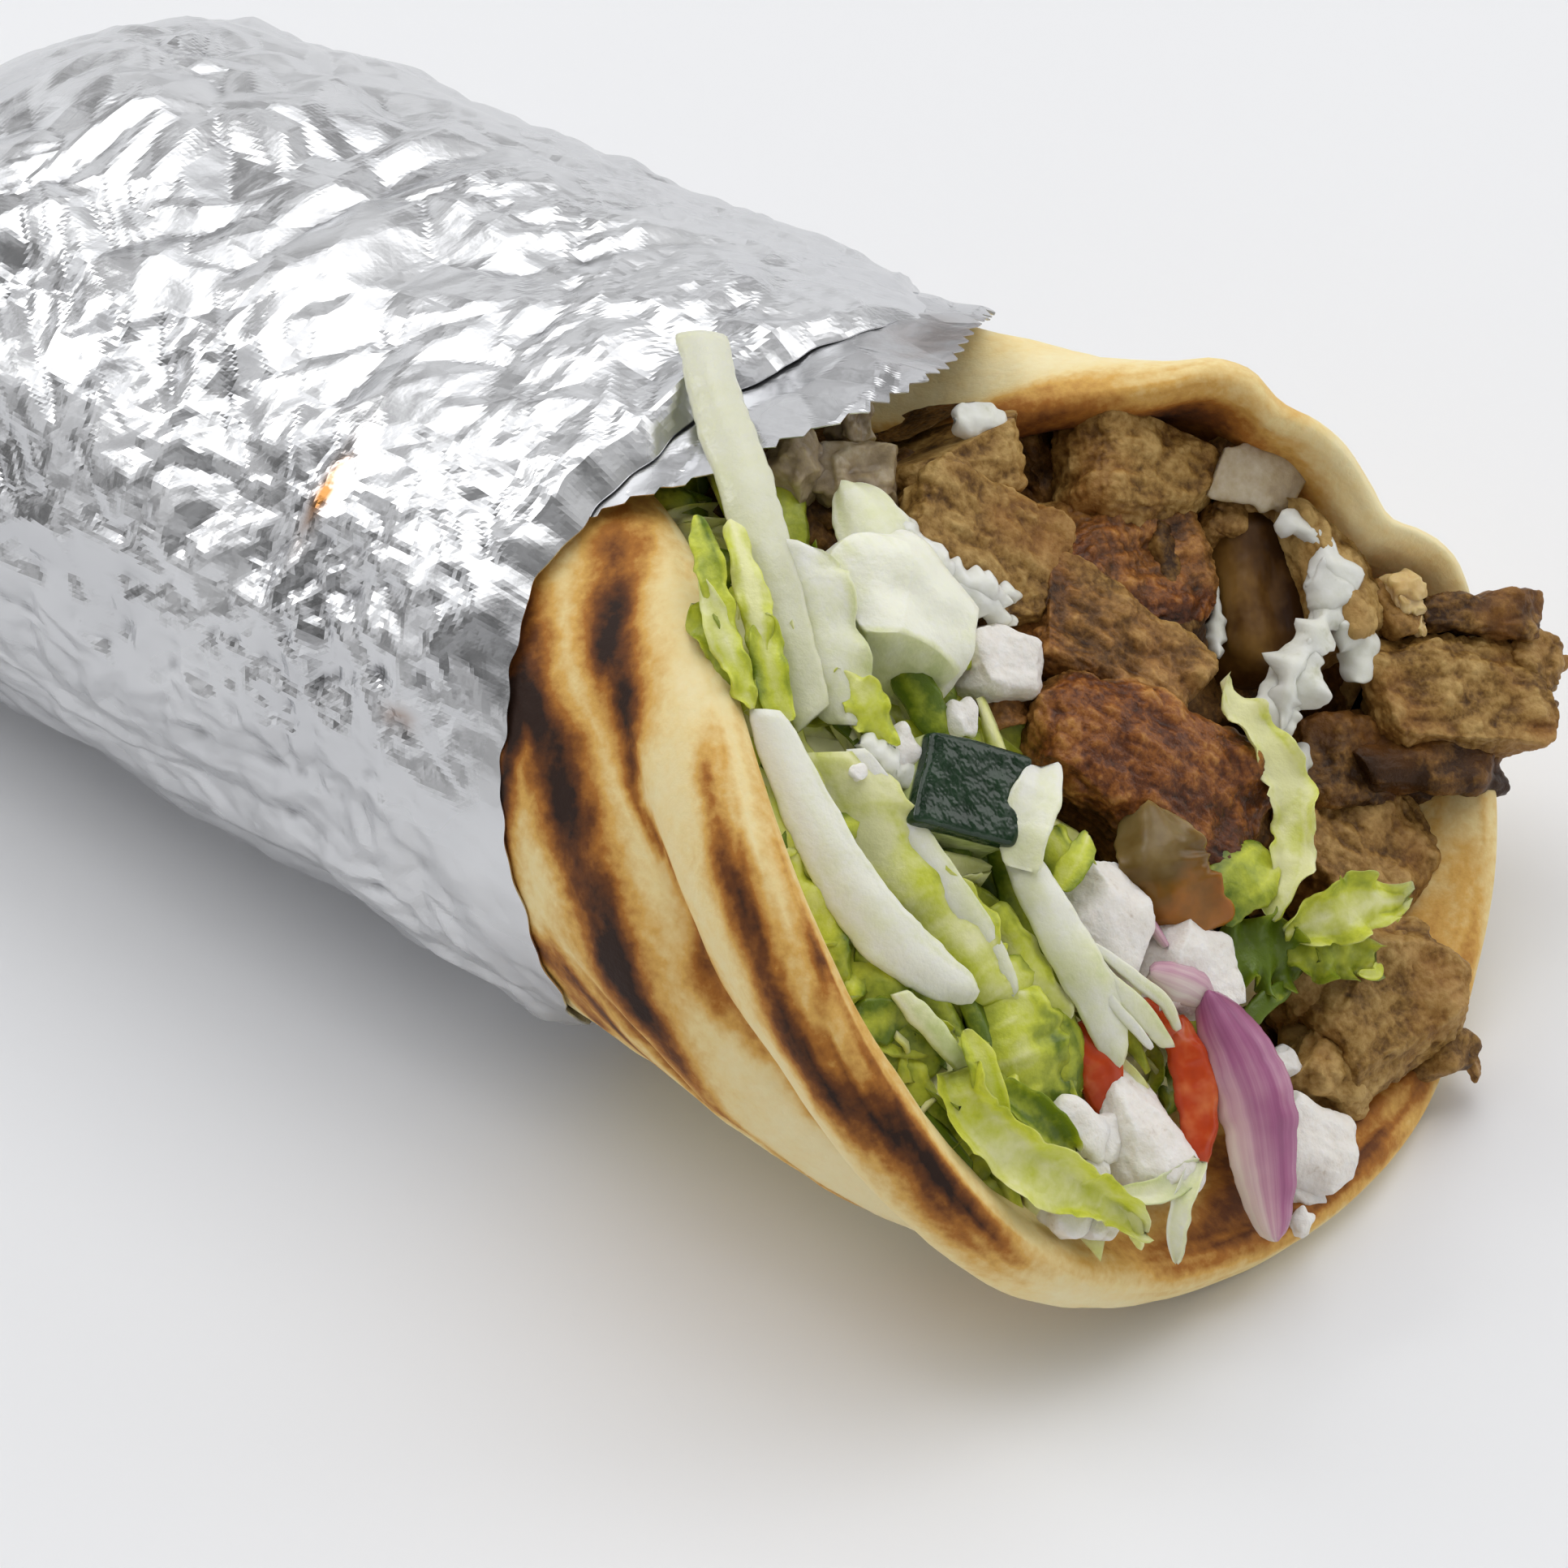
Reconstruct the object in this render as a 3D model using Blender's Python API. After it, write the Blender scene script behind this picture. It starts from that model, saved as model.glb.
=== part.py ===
"""A gyro wrap: a round pita rolled round grilled meat and salad, its lower half in crumpled foil.

The wrap lies on its side along X. Its foil tail is at -X and its open mouth, which leans back, at +X. The
near side, where the bread folds back over the salad, is -Y, and the high wall of bread is +Y. Places are
worked out in millimetres as (along from the tail, across, up), and become metres when a mesh is made.
"""

import bmesh
import bpy
import numpy as np
from mathutils import Matrix, Vector, noise

MM = 0.001
GAP = 0.35  # clearance between pieces that lie against each other
POCKET_GAP = 1.3  # clearance of the filling's heaps from the bread, whose skins are faceted

# The bread: a round pita, a little out of round, rolled up from a flat disc.
PITA_THICK = 6.5
PITA_MIDDLE = 92.0  # the disc's centre, along the wrap from the tail
PITA_TO_LIP = 81.0
PITA_TO_TAIL = 76.0
PITA_TO_NEAR = 89.0  # round the curve of the roll, from its bottom to the flap's edge
PITA_TO_FAR = 88.0

# The roll that the bread follows: half widths and height of its outer skin, at stations from the tail.
ROLL_STATIONS = (0.0, 8.0, 20.0, 50.0, 85.0, 105.0, 140.0, 176.0)
ROLL_NEAR = (27.0, 30.0, 32.0, 35.0, 37.5, 39.5, 45.0, 47.0)
ROLL_FAR = (32.0, 34.0, 35.0, 35.5, 37.0, 39.0, 41.5, 42.0)
ROLL_HEIGHT = (35.0, 43.0, 50.0, 53.5, 55.0, 56.5, 67.0, 69.0)
ROLL_LIFT = (1.8, 1.8, 1.8, 1.8, 1.8, 1.8, 0.0, 0.0)  # the foil's thickness under the bread
ROLL_SQUARENESS = 2.3  # 2 is an ellipse, more is boxier
ROLL_FLAT = 0.5  # how much of the roll's round bottom is pressed flat on the table
ROLL_MIDDLE = 88.35  # the station that stands over the origin

# The folds that the bent bread makes in the near flap, measured back from the flap's edge.
FOLD_FROM = 107.0  # along the wrap, where they come out of the foil
FOLD_FROM_EDGE = 19.0
FOLD_DEPTH = 1.6
FOLD_SWELL = 1.3

# The foil: one sheet rolled round the tail and folded shut, with its inner turn showing at the mouth.
FOIL_WALL = 0.9
FOIL_CRUMPLE = 2.4
FOIL_EDGE_FROM = np.radians([0, 60, 120, 150, 158, 170, 180, 195, 212, 220, 235, 255, 270, 285, 320])
FOIL_EDGE_AT = (106, 104, 105, 109, 107, 102.4, 101.2, 101, 99, 98.8, 101.8, 104.8, 108.5, 111, 109)
FOIL_CLOSED = 9.0  # where the tail's solid end begins
FOIL_RINGS = 14
FOIL_SPOKES = 40
INNER_TURN_FROM = np.radians([0, 146, 158, 170, 179, 184, 195, 205])  # round the roll from its bottom
INNER_TURN_PAST = (0.0, 0.0, 7.0, 12.5, 11.5, 7.0, 2.5, 0.0)  # how far it shows past the edge

# The mouth: a plane that leans back, on which the filling's pieces are placed.
MOUTH_CENTRE = np.array([146.0, 0.0, 32.0])
MOUTH_LEAN = np.radians(47)
MOUTH = np.array(
    [
        [0.0, 1.0, 0.0],  # across, from the near flap to the far wall
        [np.sin(MOUTH_LEAN), 0.0, -np.cos(MOUTH_LEAN)],  # down, from the foil to the lip
        [np.cos(MOUTH_LEAN), 0.0, np.sin(MOUTH_LEAN)],  # out of the mouth
    ]
)
NEAR_UP = (-0.5, -0.2, 0.85)  # out of the mouth and a little to the near side
SALAD_TO_MEAT = -5.0  # where the salad meets the meat, across the wrap


def smooth_through(stations, values, at):
    """A smooth curve through the stations: cubic pieces whose slopes follow their neighbours."""
    stations, values = np.array(stations, float), np.array(values, float)
    slopes = np.gradient(values, stations)
    at = np.clip(np.asarray(at, float), stations[0], stations[-1])
    low = np.clip(np.searchsorted(stations, at, side="right") - 1, 0, len(stations) - 2)
    step = stations[low + 1] - stations[low]
    t = (at - stations[low]) / step
    return (
        (1 + 2 * t) * (1 - t) ** 2 * values[low]
        + t * (1 - t) ** 2 * step * slopes[low]
        + t * t * (3 - 2 * t) * values[low + 1]
        + t * t * (t - 1) * step * slopes[low + 1]
    )


def roll_point(along, turn, out=0.0):
    """A point of the roll's outer skin, moved out along its normal.

    turn is 0 at the bottom, -pi/2 at the near side, +pi/2 at the far side and pi at the top.
    """
    sine, cosine = np.sin(turn), np.cos(turn)
    half = np.where(
        sine < 0,
        smooth_through(ROLL_STATIONS, ROLL_NEAR, along),
        smooth_through(ROLL_STATIONS, ROLL_FAR, along),
    )
    half_height = smooth_through(ROLL_STATIONS, ROLL_HEIGHT, along) / 2
    lift = smooth_through(ROLL_STATIONS, ROLL_LIFT, along) - ROLL_FLAT
    power = 2 / ROLL_SQUARENESS
    across = np.sign(sine) * np.abs(sine) ** power
    up = -np.sign(cosine) * np.abs(cosine) ** power
    normal = np.stack(
        [
            np.sign(across) * np.abs(across) ** (ROLL_SQUARENESS - 1) / half,
            np.sign(up) * np.abs(up) ** (ROLL_SQUARENESS - 1) / half_height,
        ],
        -1,
    )
    normal /= np.linalg.norm(normal, axis=-1, keepdims=True)
    height = half_height * (1 + up) + lift + out * normal[..., 1]
    return np.stack(
        [
            along + 0 * across,
            half * across + out * normal[..., 0],
            np.maximum(height, 0.0),
        ],
        -1,
    )


TURNS = np.linspace(-np.pi, np.pi, 481)


def bread_point(along, arc, inset):
    """A point of the bread: arc is the distance round the roll from its bottom, at mid thickness."""
    middle = roll_point(along, TURNS, -PITA_THICK / 2)
    steps = np.linalg.norm(np.diff(middle, axis=0), axis=1)
    arcs = np.concatenate([[0], np.cumsum(steps)])
    arcs -= arcs[len(TURNS) // 2]
    turn = np.interp(arc, arcs, TURNS)
    return roll_point(along, turn, -inset)


def flap_fold(along, arc):
    """How far the bread bulges out: two swells in the near flap with a crease between them."""
    beyond = max(0.0, 1 - ((along - PITA_MIDDLE) / PITA_TO_LIP) ** 2)
    from_edge = arc + PITA_TO_NEAR * np.sqrt(beyond)
    clear_of_foil = np.clip((along - FOLD_FROM) / 14, 0, 1)
    at_crease = (from_edge - FOLD_FROM_EDGE) / 4.5
    crease = -FOLD_DEPTH * np.exp(-(at_crease**2))
    swells = [(from_edge - FOLD_FROM_EDGE * share) / 7.0 for share in (0.45, 1.7)]
    swell = FOLD_SWELL * sum(np.exp(-(s**2)) for s in swells)
    return clear_of_foil * (crease + swell)


def disc_point(ring, angle, side):
    """A point of the disc before rolling becomes one of the roll. side is 1 outside, -1 inside."""
    reach = PITA_TO_LIP if np.cos(angle) > 0 else PITA_TO_TAIL
    width = PITA_TO_FAR if np.sin(angle) > 0 else PITA_TO_NEAR
    along = PITA_MIDDLE + ring * reach * np.cos(angle)
    arc = ring * width * np.sin(angle)
    bulge = flap_fold(along, arc) * (0.6 + 0.4 * side)
    return bread_point(along, arc, PITA_THICK * (0.5 - 0.5 * side) - bulge)


def in_mouth(across, down, out):
    """A place on the mouth's plane as (along, across, up)."""
    return MOUTH_CENTRE + np.array([across, down, out], float) @ MOUTH


def material(name, colour, roughness, metallic=0.0):
    made = bpy.data.materials.new(name)
    made.use_nodes = True
    shader = made.node_tree.nodes["Principled BSDF"]
    shader.inputs["Base Color"].default_value = (*colour, 1.0)
    shader.inputs["Roughness"].default_value = roughness
    shader.inputs["Metallic"].default_value = metallic
    return made


def piece(name, points, faces, finish):
    """One named object from points in millimetres along, across and up."""
    points = (np.asarray(points, float) - [ROLL_MIDDLE, 0, 0]) * MM
    mesh = bpy.data.meshes.new(name)
    mesh.from_pydata(points.tolist(), [], faces)
    shape = bmesh.new()
    shape.from_mesh(mesh)
    bmesh.ops.recalc_face_normals(shape, faces=shape.faces)
    bmesh.ops.triangulate(shape, faces=shape.faces)
    shape.to_mesh(mesh)
    shape.free()
    mesh.shade_smooth()
    made = bpy.data.objects.new(name, mesh)
    made.data.materials.append(finish)
    bpy.context.scene.collection.objects.link(made)
    return made


def grid_faces(rows, columns, start=0, closed=False):
    """Quads of a grid of points, row by row. A closed grid joins its last column to its first."""
    faces = []
    for r in range(rows - 1):
        for c in range(columns if closed else columns - 1):
            a, b = start + r * columns + c, start + r * columns + (c + 1) % columns
            faces.append([a, a + columns, b + columns, b])
    return faces


# ---- bread ----


def make_pita(finish):
    """The disc in rings: an outer and an inner skin that meet in a rounded rim."""
    rings = [0.18, 0.36, 0.52, 0.66, 0.77, 0.86, 0.925, 0.965, 0.99]
    spokes = 52
    angles = [2 * np.pi * k / spokes for k in range(spokes)]
    points, faces, edges = [], [], []
    for side in (1, -1):
        start = len(points)
        points.append(disc_point(0.0, 0.0, side))
        for ring in rings:
            fullness = np.sqrt(1 - max(0.0, (ring - 0.92) / 0.08) ** 2)
            points += [disc_point(ring, angle, side * fullness) for angle in angles]
        faces += [[start, start + 1 + k, start + 1 + (k + 1) % spokes] for k in range(spokes)]
        faces += grid_faces(len(rings), spokes, start + 1, closed=True)
        edges.append(len(points) - spokes)
    rim = len(points)
    points += [disc_point(1.0, angle, 0.0) for angle in angles]
    for edge in edges:
        for k in range(spokes):
            j = (k + 1) % spokes
            faces.append([edge + k, rim + k, rim + j, edge + j])
    return piece("pita", points, faces, finish)


# ---- foil ----


def foil_edge(turn):
    """How far along the open edge lies, round the roll."""
    return np.interp(turn, FOIL_EDGE_FROM, FOIL_EDGE_AT, period=2 * np.pi)


def inner_turn_edge(turn):
    """Where the sheet's inner turn ends: it shows past the outer edge across the top."""
    return foil_edge(turn) + 0.3 + np.interp(turn, INNER_TURN_FROM, INNER_TURN_PAST, period=2 * np.pi)


def crumple(along, turn):
    """Height of the crushed foil's facets, which meet in ridges midway between scattered hollows."""
    place = Vector((along / 12.0, 3.2 * np.sin(turn), 3.2 * np.cos(turn)))
    nearest = noise.voronoi(place)[0]
    return FOIL_CRUMPLE * min(1.0, nearest[0])


def make_foil(finish):
    """The sleeve's crumpled outside and smooth inside, joined at the mouth, with a solid folded tail."""
    turns = np.linspace(-np.pi, np.pi, FOIL_SPOKES, endpoint=False)
    points = []
    for share in np.linspace(0, 1, FOIL_RINGS):
        for turn in turns:
            settle = min(1.0, (1 - share) / 0.05)
            out = GAP + FOIL_WALL + settle * crumple(share * foil_edge(turn), turn)
            if abs(turn) < 0.45:
                out = 3.0  # pressed flat on the table
            points.append(roll_point(share * foil_edge(turn), turn, out))
    for turn in turns:
        points.append(roll_point(foil_edge(turn) + 0.15, turn, GAP + 0.5 * FOIL_WALL))
    for turn in turns:
        points.append(roll_point(inner_turn_edge(turn), turn, GAP + 0.5 * FOIL_WALL))
    inner_shares = (1.0, 0.8, 0.5, 0.25, 0.12, 0.05, 0.0)
    for share in inner_shares:
        for turn in turns:
            along = FOIL_CLOSED + share * (inner_turn_edge(turn) - FOIL_CLOSED)
            points.append(roll_point(along, turn, GAP))
    rings = FOIL_RINGS + 2 + len(inner_shares)
    faces = grid_faces(rings, FOIL_SPOKES, 0, closed=True)
    for start, reach in ((0, 1.0), (len(points) - FOIL_SPOKES, 0.0)):
        ring = np.array(points[start : start + FOIL_SPOKES])
        middle = len(points)
        points += tail_folds(ring, reach)
        for k in range(FOIL_SPOKES):
            j = (k + 1) % FOIL_SPOKES
            faces.append([start + k, middle + k, middle + j, start + j])
        hub = len(points)
        points.append(np.mean(points[middle:hub], axis=0))
        faces += [[middle + k, hub, middle + (k + 1) % FOIL_SPOKES] for k in range(FOIL_SPOKES)]
    return piece("foil_wrap", points, faces, finish)


def tail_folds(ring, reach):
    """The ring drawn in to half its size, with every third pair of points pushed out as a fold."""
    centre = ring.mean(axis=0)
    folds = []
    for k, point in enumerate(ring):
        drawn = centre + 0.5 * (point - centre)
        drawn[0] -= reach * (0.6 + 1.2 * (k // 2 % 3 == 0))
        folds.append(drawn)
    return folds


# ---- filling ----


def make_bed(name, near, far, surface, finish):
    """Half of the filling: it fills the roll between two upright planes, up to an uneven surface."""
    stations = np.linspace(FOIL_CLOSED + 9, PITA_MIDDLE + PITA_TO_LIP - 12, 9)
    count = 12
    points = []
    for along in stations:
        skin = roll_point(along, TURNS, -PITA_THICK - POCKET_GAP)
        lower, upper = skin[np.abs(TURNS) <= np.pi / 2], skin[np.abs(TURNS) >= np.pi / 2]
        upper = upper[np.argsort(upper[:, 1])]
        low, high = max(near, skin[:, 1].min() + 0.05), min(far, skin[:, 1].max() - 0.05)
        across = low + (high - low) * (0.5 - 0.5 * np.cos(np.linspace(0, np.pi, count)))
        floor = np.interp(across, lower[:, 1], lower[:, 2])
        roof = np.maximum(np.interp(across, upper[:, 1], upper[:, 2]), floor + 0.5)
        points += [[along, y, z] for y, z in zip(across, floor)]
        points += [[along, y, z] for y, z in zip(across[::-1], roof[::-1])]
    ring = 2 * count
    faces = grid_faces(len(stations), ring, 0, closed=True)
    faces += [list(range(ring)), list(range(len(points) - ring, len(points)))]
    bed = piece(name, points, faces, finish)
    cut(bed, surface)
    return bed


def make_surface(name, level, relief, seed):
    """A block with an uneven underside, which takes away whatever the filling doesn't reach."""
    across = np.linspace(-62, 62, 13)
    down = np.linspace(-75, 55, 13)
    points = []
    for d in down:
        for a in across:
            wave = noise.noise(Vector((a / 9, d / 9, seed)))
            points.append(in_mouth(a, d, level + relief * wave))
    for d in (down[0], down[-1]):
        for a in (across[0], across[-1]):
            points.append(in_mouth(a, d, 90.0))
    n = len(across)
    faces = grid_faces(n, n)
    top = n * n
    faces.append(list(range(n)) + [top + 1, top])
    faces.append(list(range(n * (n - 1), n * n)) + [top + 3, top + 2])
    faces.append([n * k for k in range(n)] + [top + 2, top])
    faces.append([n * k + n - 1 for k in range(n)] + [top + 3, top + 1])
    faces.append([top, top + 1, top + 3, top + 2])
    return helper(piece(name, points, faces, bpy.data.materials[0]))


def helper(cutter):
    cutter.hide_render = True
    cutter.display_type = "WIRE"
    return cutter


def cut(target, cutter):
    modifier = target.modifiers.new(cutter.name, "BOOLEAN")
    modifier.object = cutter
    modifier.operation = "DIFFERENCE"
    modifier.solver = "EXACT"


def fattened(source):
    """A copy of a piece, GAP bigger all round, as the cutter that keeps its neighbours clear of it."""
    name = source.name + "_room"
    if name in bpy.data.objects:
        return bpy.data.objects[name]
    mesh = source.data.copy()
    shape = bmesh.new()
    shape.from_mesh(mesh)
    shape.normal_update()
    for vertex, normal in [(v, v.normal.copy()) for v in shape.verts]:
        vertex.co += normal * GAP * 1.15 * MM
    shape.to_mesh(mesh)
    shape.free()
    made = bpy.data.objects.new(name, mesh)
    bpy.context.scene.collection.objects.link(made)
    return helper(made)


def box_of(made):
    corners = np.array([vertex.co[:] for vertex in made.data.vertices])
    return corners.min(axis=0), corners.max(axis=0)


def clear_of(made, others):
    """A piece is cut clear of each of the others that it reaches."""
    low, high = box_of(made)
    for other in others:
        other_low, other_high = box_of(other)
        reach = (low < other_high + GAP * MM) & (other_low < high + GAP * MM)
        if reach.all():
            cut(made, fattened(other))


def chunk(name, place, size, turn, finish, pitch=0.0, boxiness=3.2, bumps=0.12, cuts=2):
    """A lump cut from a block: a rounded box whose sides bulge and dip.

    place is across, down and out in the mouth. turn swings its length from across towards down, and pitch
    raises the end of its length.
    """
    shape = bmesh.new()
    bmesh.ops.create_cube(shape, size=2.0)
    bmesh.ops.subdivide_edges(shape, edges=shape.edges, cuts=cuts, use_grid_fill=True)
    spin = Matrix.Rotation(np.radians(turn), 3, "Z") @ Matrix.Rotation(-np.radians(pitch), 3, "Y")
    seed = Vector((sum(map(ord, name)) % 97, len(name), 0))
    points = []
    for vertex in shape.verts:
        co = np.array(vertex.co)
        co = co / (np.abs(co) ** boxiness).sum() ** (1 / boxiness)
        co *= 1 + bumps * 1.6 * noise.noise(Vector(co * 1.7) + seed)
        points.append(in_mouth(*(np.array(place) + spin @ Vector(co * np.array(size) / 2))))
    faces = [[vertex.index for vertex in face.verts] for face in shape.faces]
    shape.free()
    return piece(name, points, faces, finish)


def strip(name, path, width, thick, finish, ends=(0.75, 0.75), cup=0.0, ripple=0.0, face=NEAR_UP, rings=7):
    """A sliver along a smooth path through a few places in the mouth.

    ends are the widths at the two ends as shares of the whole. cup bends it across, ripple waves its edges,
    and face is the way its broad side looks.
    """
    knots = np.linspace(0, 1, len(path))
    path = np.array([in_mouth(*place) for place in path])
    shares = np.linspace(0, 1, rings)
    line = np.stack([smooth_through(knots, path[:, k], shares) for k in range(3)], -1)
    facing = np.array(face, float) @ MOUTH
    around = np.linspace(0, 2 * np.pi, 8, endpoint=False)
    points = []
    for k, share in enumerate(shares):
        tangent = line[min(k + 1, rings - 1)] - line[max(k - 1, 0)]
        tangent /= np.linalg.norm(tangent)
        side = np.cross(facing, tangent)
        side /= np.linalg.norm(side)
        normal = np.cross(tangent, side)
        end = ends[0] if share < 0.5 else ends[1]
        span = width / 2 * (end + (1 - end) * np.sin(np.pi * share) ** 0.7)
        for angle in around:
            s, lift = np.cos(angle), thick / 2 * np.sin(angle)
            if abs(s) > 0.5:
                s = np.sign(s) * (0.85 if abs(s) < 0.9 else 1.0)
            lift += cup * s * s + ripple * s * np.sin(5 * np.pi * share)
            points.append(line[k] + side * span * s + normal * lift)
    ring = len(around)
    faces = grid_faces(rings, ring, 0, closed=True)
    faces += [list(range(ring)), list(range(len(points) - ring, len(points)))]
    return piece(name, points, faces, finish)


def clear_scene():
    for old in list(bpy.data.objects):
        bpy.data.objects.remove(old)


def build():
    clear_scene()
    bread = material("bread", (0.86, 0.66, 0.36), 0.7)
    foil = material("foil", (0.85, 0.86, 0.88), 0.22, 1.0)
    meat = material("grilled_meat", (0.30, 0.17, 0.08), 0.6)
    lettuce = material("lettuce", (0.55, 0.68, 0.20), 0.4)
    onion = material("white_onion", (0.86, 0.88, 0.74), 0.3)
    purple = material("red_onion", (0.50, 0.22, 0.42), 0.3)
    brown = material("cooked_onion", (0.50, 0.36, 0.18), 0.3)
    cheese = material("feta", (0.93, 0.90, 0.86), 0.55)
    green = material("cucumber", (0.05, 0.13, 0.06), 0.2)
    red = material("tomato", (0.70, 0.09, 0.03), 0.2)

    wrapping = [make_foil(foil), make_pita(bread)]

    slivers = [
        strip(
            "onion_strip_long",
            [(2, -56.4, -11.3), (-5, -50.7, -6.9), (-11.4, -44.3, -2.5), (-17, -37, -0.5), (-23.5, -26, 0.5)],
            4.6,
            2.0,
            onion,
            ends=(0.9, 0.8),
            rings=9,
        ),
        strip(
            "cabbage_strip_near",
            [(-26, -30.5, 0), (-30.6, -22, 0.5), (-32, -10, 1), (-30, -1, 1.5)],
            5.0,
            1.8,
            onion,
            ends=(0.5, 1.0),
            rings=8,
        ),
        strip(
            "lettuce_curl_low",
            [(-32.5, 2.5, 1), (-35.5, 9.2, 0), (-34.4, 16.5, 1), (-30, 23, 2), (-25.5, 27.5, 2)],
            5.5,
            1.6,
            lettuce,
            cup=1.2,
            rings=9,
        ),
        strip(
            "red_onion_petal",
            [(-11, 15.5, 5), (-15, 23.5, 5.5), (-19.4, 34, 3.5)],
            8.5,
            1.8,
            purple,
            cup=-1.4,
        ),
        strip(
            "cooked_onion",
            [(-3, -1, 4.5), (-4.5, 5, 4.5), (-7, 9.5, 2)],
            10.0,
            2.0,
            brown,
            ends=(0.3, 0.8),
        ),
        strip("tomato_strip", [(-13.5, 16.5, 0.5), (-15.3, 21.8, 0.5), (-18.5, 26.5, -1)], 4.0, 3.0, red),
        strip(
            "cabbage_rib",
            [(-5.5, -35.5, -2.5), (-7.5, -28.5, 0), (-10.2, -21.5, 0.5)],
            11.0,
            3.2,
            onion,
            cup=-1.5,
        ),
        strip(
            "lettuce_ribbon",
            [(13.6, -5, 3), (14.3, 2.7, 3.5), (12.8, 10, 4), (6, 15.5, 2.5)],
            5.0,
            1.2,
            lettuce,
            ripple=0.7,
            rings=9,
        ),
        strip(
            "lettuce_leaf_top",
            [(2.5, 17.5, 2.5), (7.8, 20, 4), (13, 23, 5)],
            8.0,
            1.2,
            lettuce,
            ends=(0.6, 0.3),
        ),
    ]
    lumps = [
        chunk("cucumber_piece", (-16.2, -12.8, 0), (12, 10, 9), 48, green, boxiness=6.0, bumps=0.04),
        chunk("feta_lump_a", (-12.6, 5.5, 0.0), (12, 8, 8), 115, cheese),
        chunk("feta_lump_b", (-8.0, 14.2, 0.0), (10, 8, 8), 40, cheese),
        chunk("feta_lump_c", (-21.6, 20.8, -1.5), (11, 7, 8), 120, cheese),
        chunk("feta_lump_d", (-5.6, 34.0, -3.5), (9, 8, 8), 60, cheese),
        chunk("feta_lump_e", (-1.2, -18.2, -3.0), (9, 8, 8), 50, cheese),
        chunk("meat_over_rim", (34.0, 14.0, 1.5), (25, 16, 14), 35, meat, pitch=18, cuts=3),
        chunk("meat_middle", (3.6, -1.0, -3.5), (26, 14, 14), 66, meat),
        chunk("meat_middle_small", (10.6, -11.0, -4.5), (20, 11, 11), 70, meat),
        chunk("meat_upper_left", (6.0, -27.0, -7.0), (18, 15, 14), 60, meat),
        chunk("meat_upper_left_back", (13.4, -35.5, -10.5), (17, 12, 13), 46, meat),
        chunk("meat_seared", (20.6, -15.5, -8.5), (18, 15, 14), 30, meat),
        chunk("meat_upper_right", (29.5, -21.5, -11.0), (15, 14, 13), 46, meat),
        chunk("meat_dark_slice", (29.5, -3.5, -8.5), (18, 10, 13), 125, meat, bumps=0.05),
        chunk("meat_by_wall", (35.0, -2.0, -3.5), (14, 9, 12), 110, meat),
        chunk("meat_behind_leaf", (22.5, 19.0, -9.5), (15, 15, 13), 100, meat),
        chunk("meat_lower", (9.0, 30.5, -1.5), (21, 18, 12), 50, meat, pitch=14, cuts=3),
    ]
    salad_surface = make_surface("salad_surface", -3.5, 3.0, 3.0)
    meat_surface = make_surface("meat_surface", -9.0, 3.0, 8.0)
    beds = [
        make_bed("salad_bed", -90.0, SALAD_TO_MEAT - GAP / 2, salad_surface, lettuce),
        make_bed("meat_bed", SALAD_TO_MEAT + GAP / 2, 90.0, meat_surface, meat),
    ]
    toppings = slivers + lumps
    for k, topping in enumerate(toppings):
        clear_of(topping, wrapping + toppings[:k])
    for bed in beds:
        clear_of(bed, toppings)


build()
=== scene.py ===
"""A gyro wrap on a pale table: a rolled pita full of salad and grilled meat, with foil round its tail.

Places are in millimetres as along from the foil's tail, across and up, and become metres when a mesh is made.
"""

import bpy
import numpy as np
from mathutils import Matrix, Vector


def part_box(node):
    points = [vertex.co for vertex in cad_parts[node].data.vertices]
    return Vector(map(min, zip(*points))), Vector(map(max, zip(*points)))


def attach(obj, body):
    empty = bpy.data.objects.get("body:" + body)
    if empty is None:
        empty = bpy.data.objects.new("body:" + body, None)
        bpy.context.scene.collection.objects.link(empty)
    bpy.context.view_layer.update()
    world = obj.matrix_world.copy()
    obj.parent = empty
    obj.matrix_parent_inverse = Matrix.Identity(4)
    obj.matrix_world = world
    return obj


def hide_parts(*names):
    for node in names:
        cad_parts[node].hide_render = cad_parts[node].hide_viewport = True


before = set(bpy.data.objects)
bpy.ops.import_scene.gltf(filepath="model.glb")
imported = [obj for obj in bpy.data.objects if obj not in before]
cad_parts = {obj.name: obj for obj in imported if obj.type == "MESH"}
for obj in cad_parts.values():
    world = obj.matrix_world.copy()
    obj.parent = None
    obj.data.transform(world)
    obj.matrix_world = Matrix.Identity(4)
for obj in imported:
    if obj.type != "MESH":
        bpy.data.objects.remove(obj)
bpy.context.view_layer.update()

# ---- table, light and camera ----
# A pale matt table under one wide soft panel, which hangs above and behind the wrap, in a bright room that is
# darker behind the viewer. Foil shows all of it: the panel as white, the room as greys.

MM = 0.001
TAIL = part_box("pita")[0][0] - 0.016  # the wrap's stations are counted from here


def metres(places):
    """Places in millimetres along, across and up, as metres in the part's frame."""
    return np.asarray(places, float) * MM + [TAIL, 0, 0]


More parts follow.
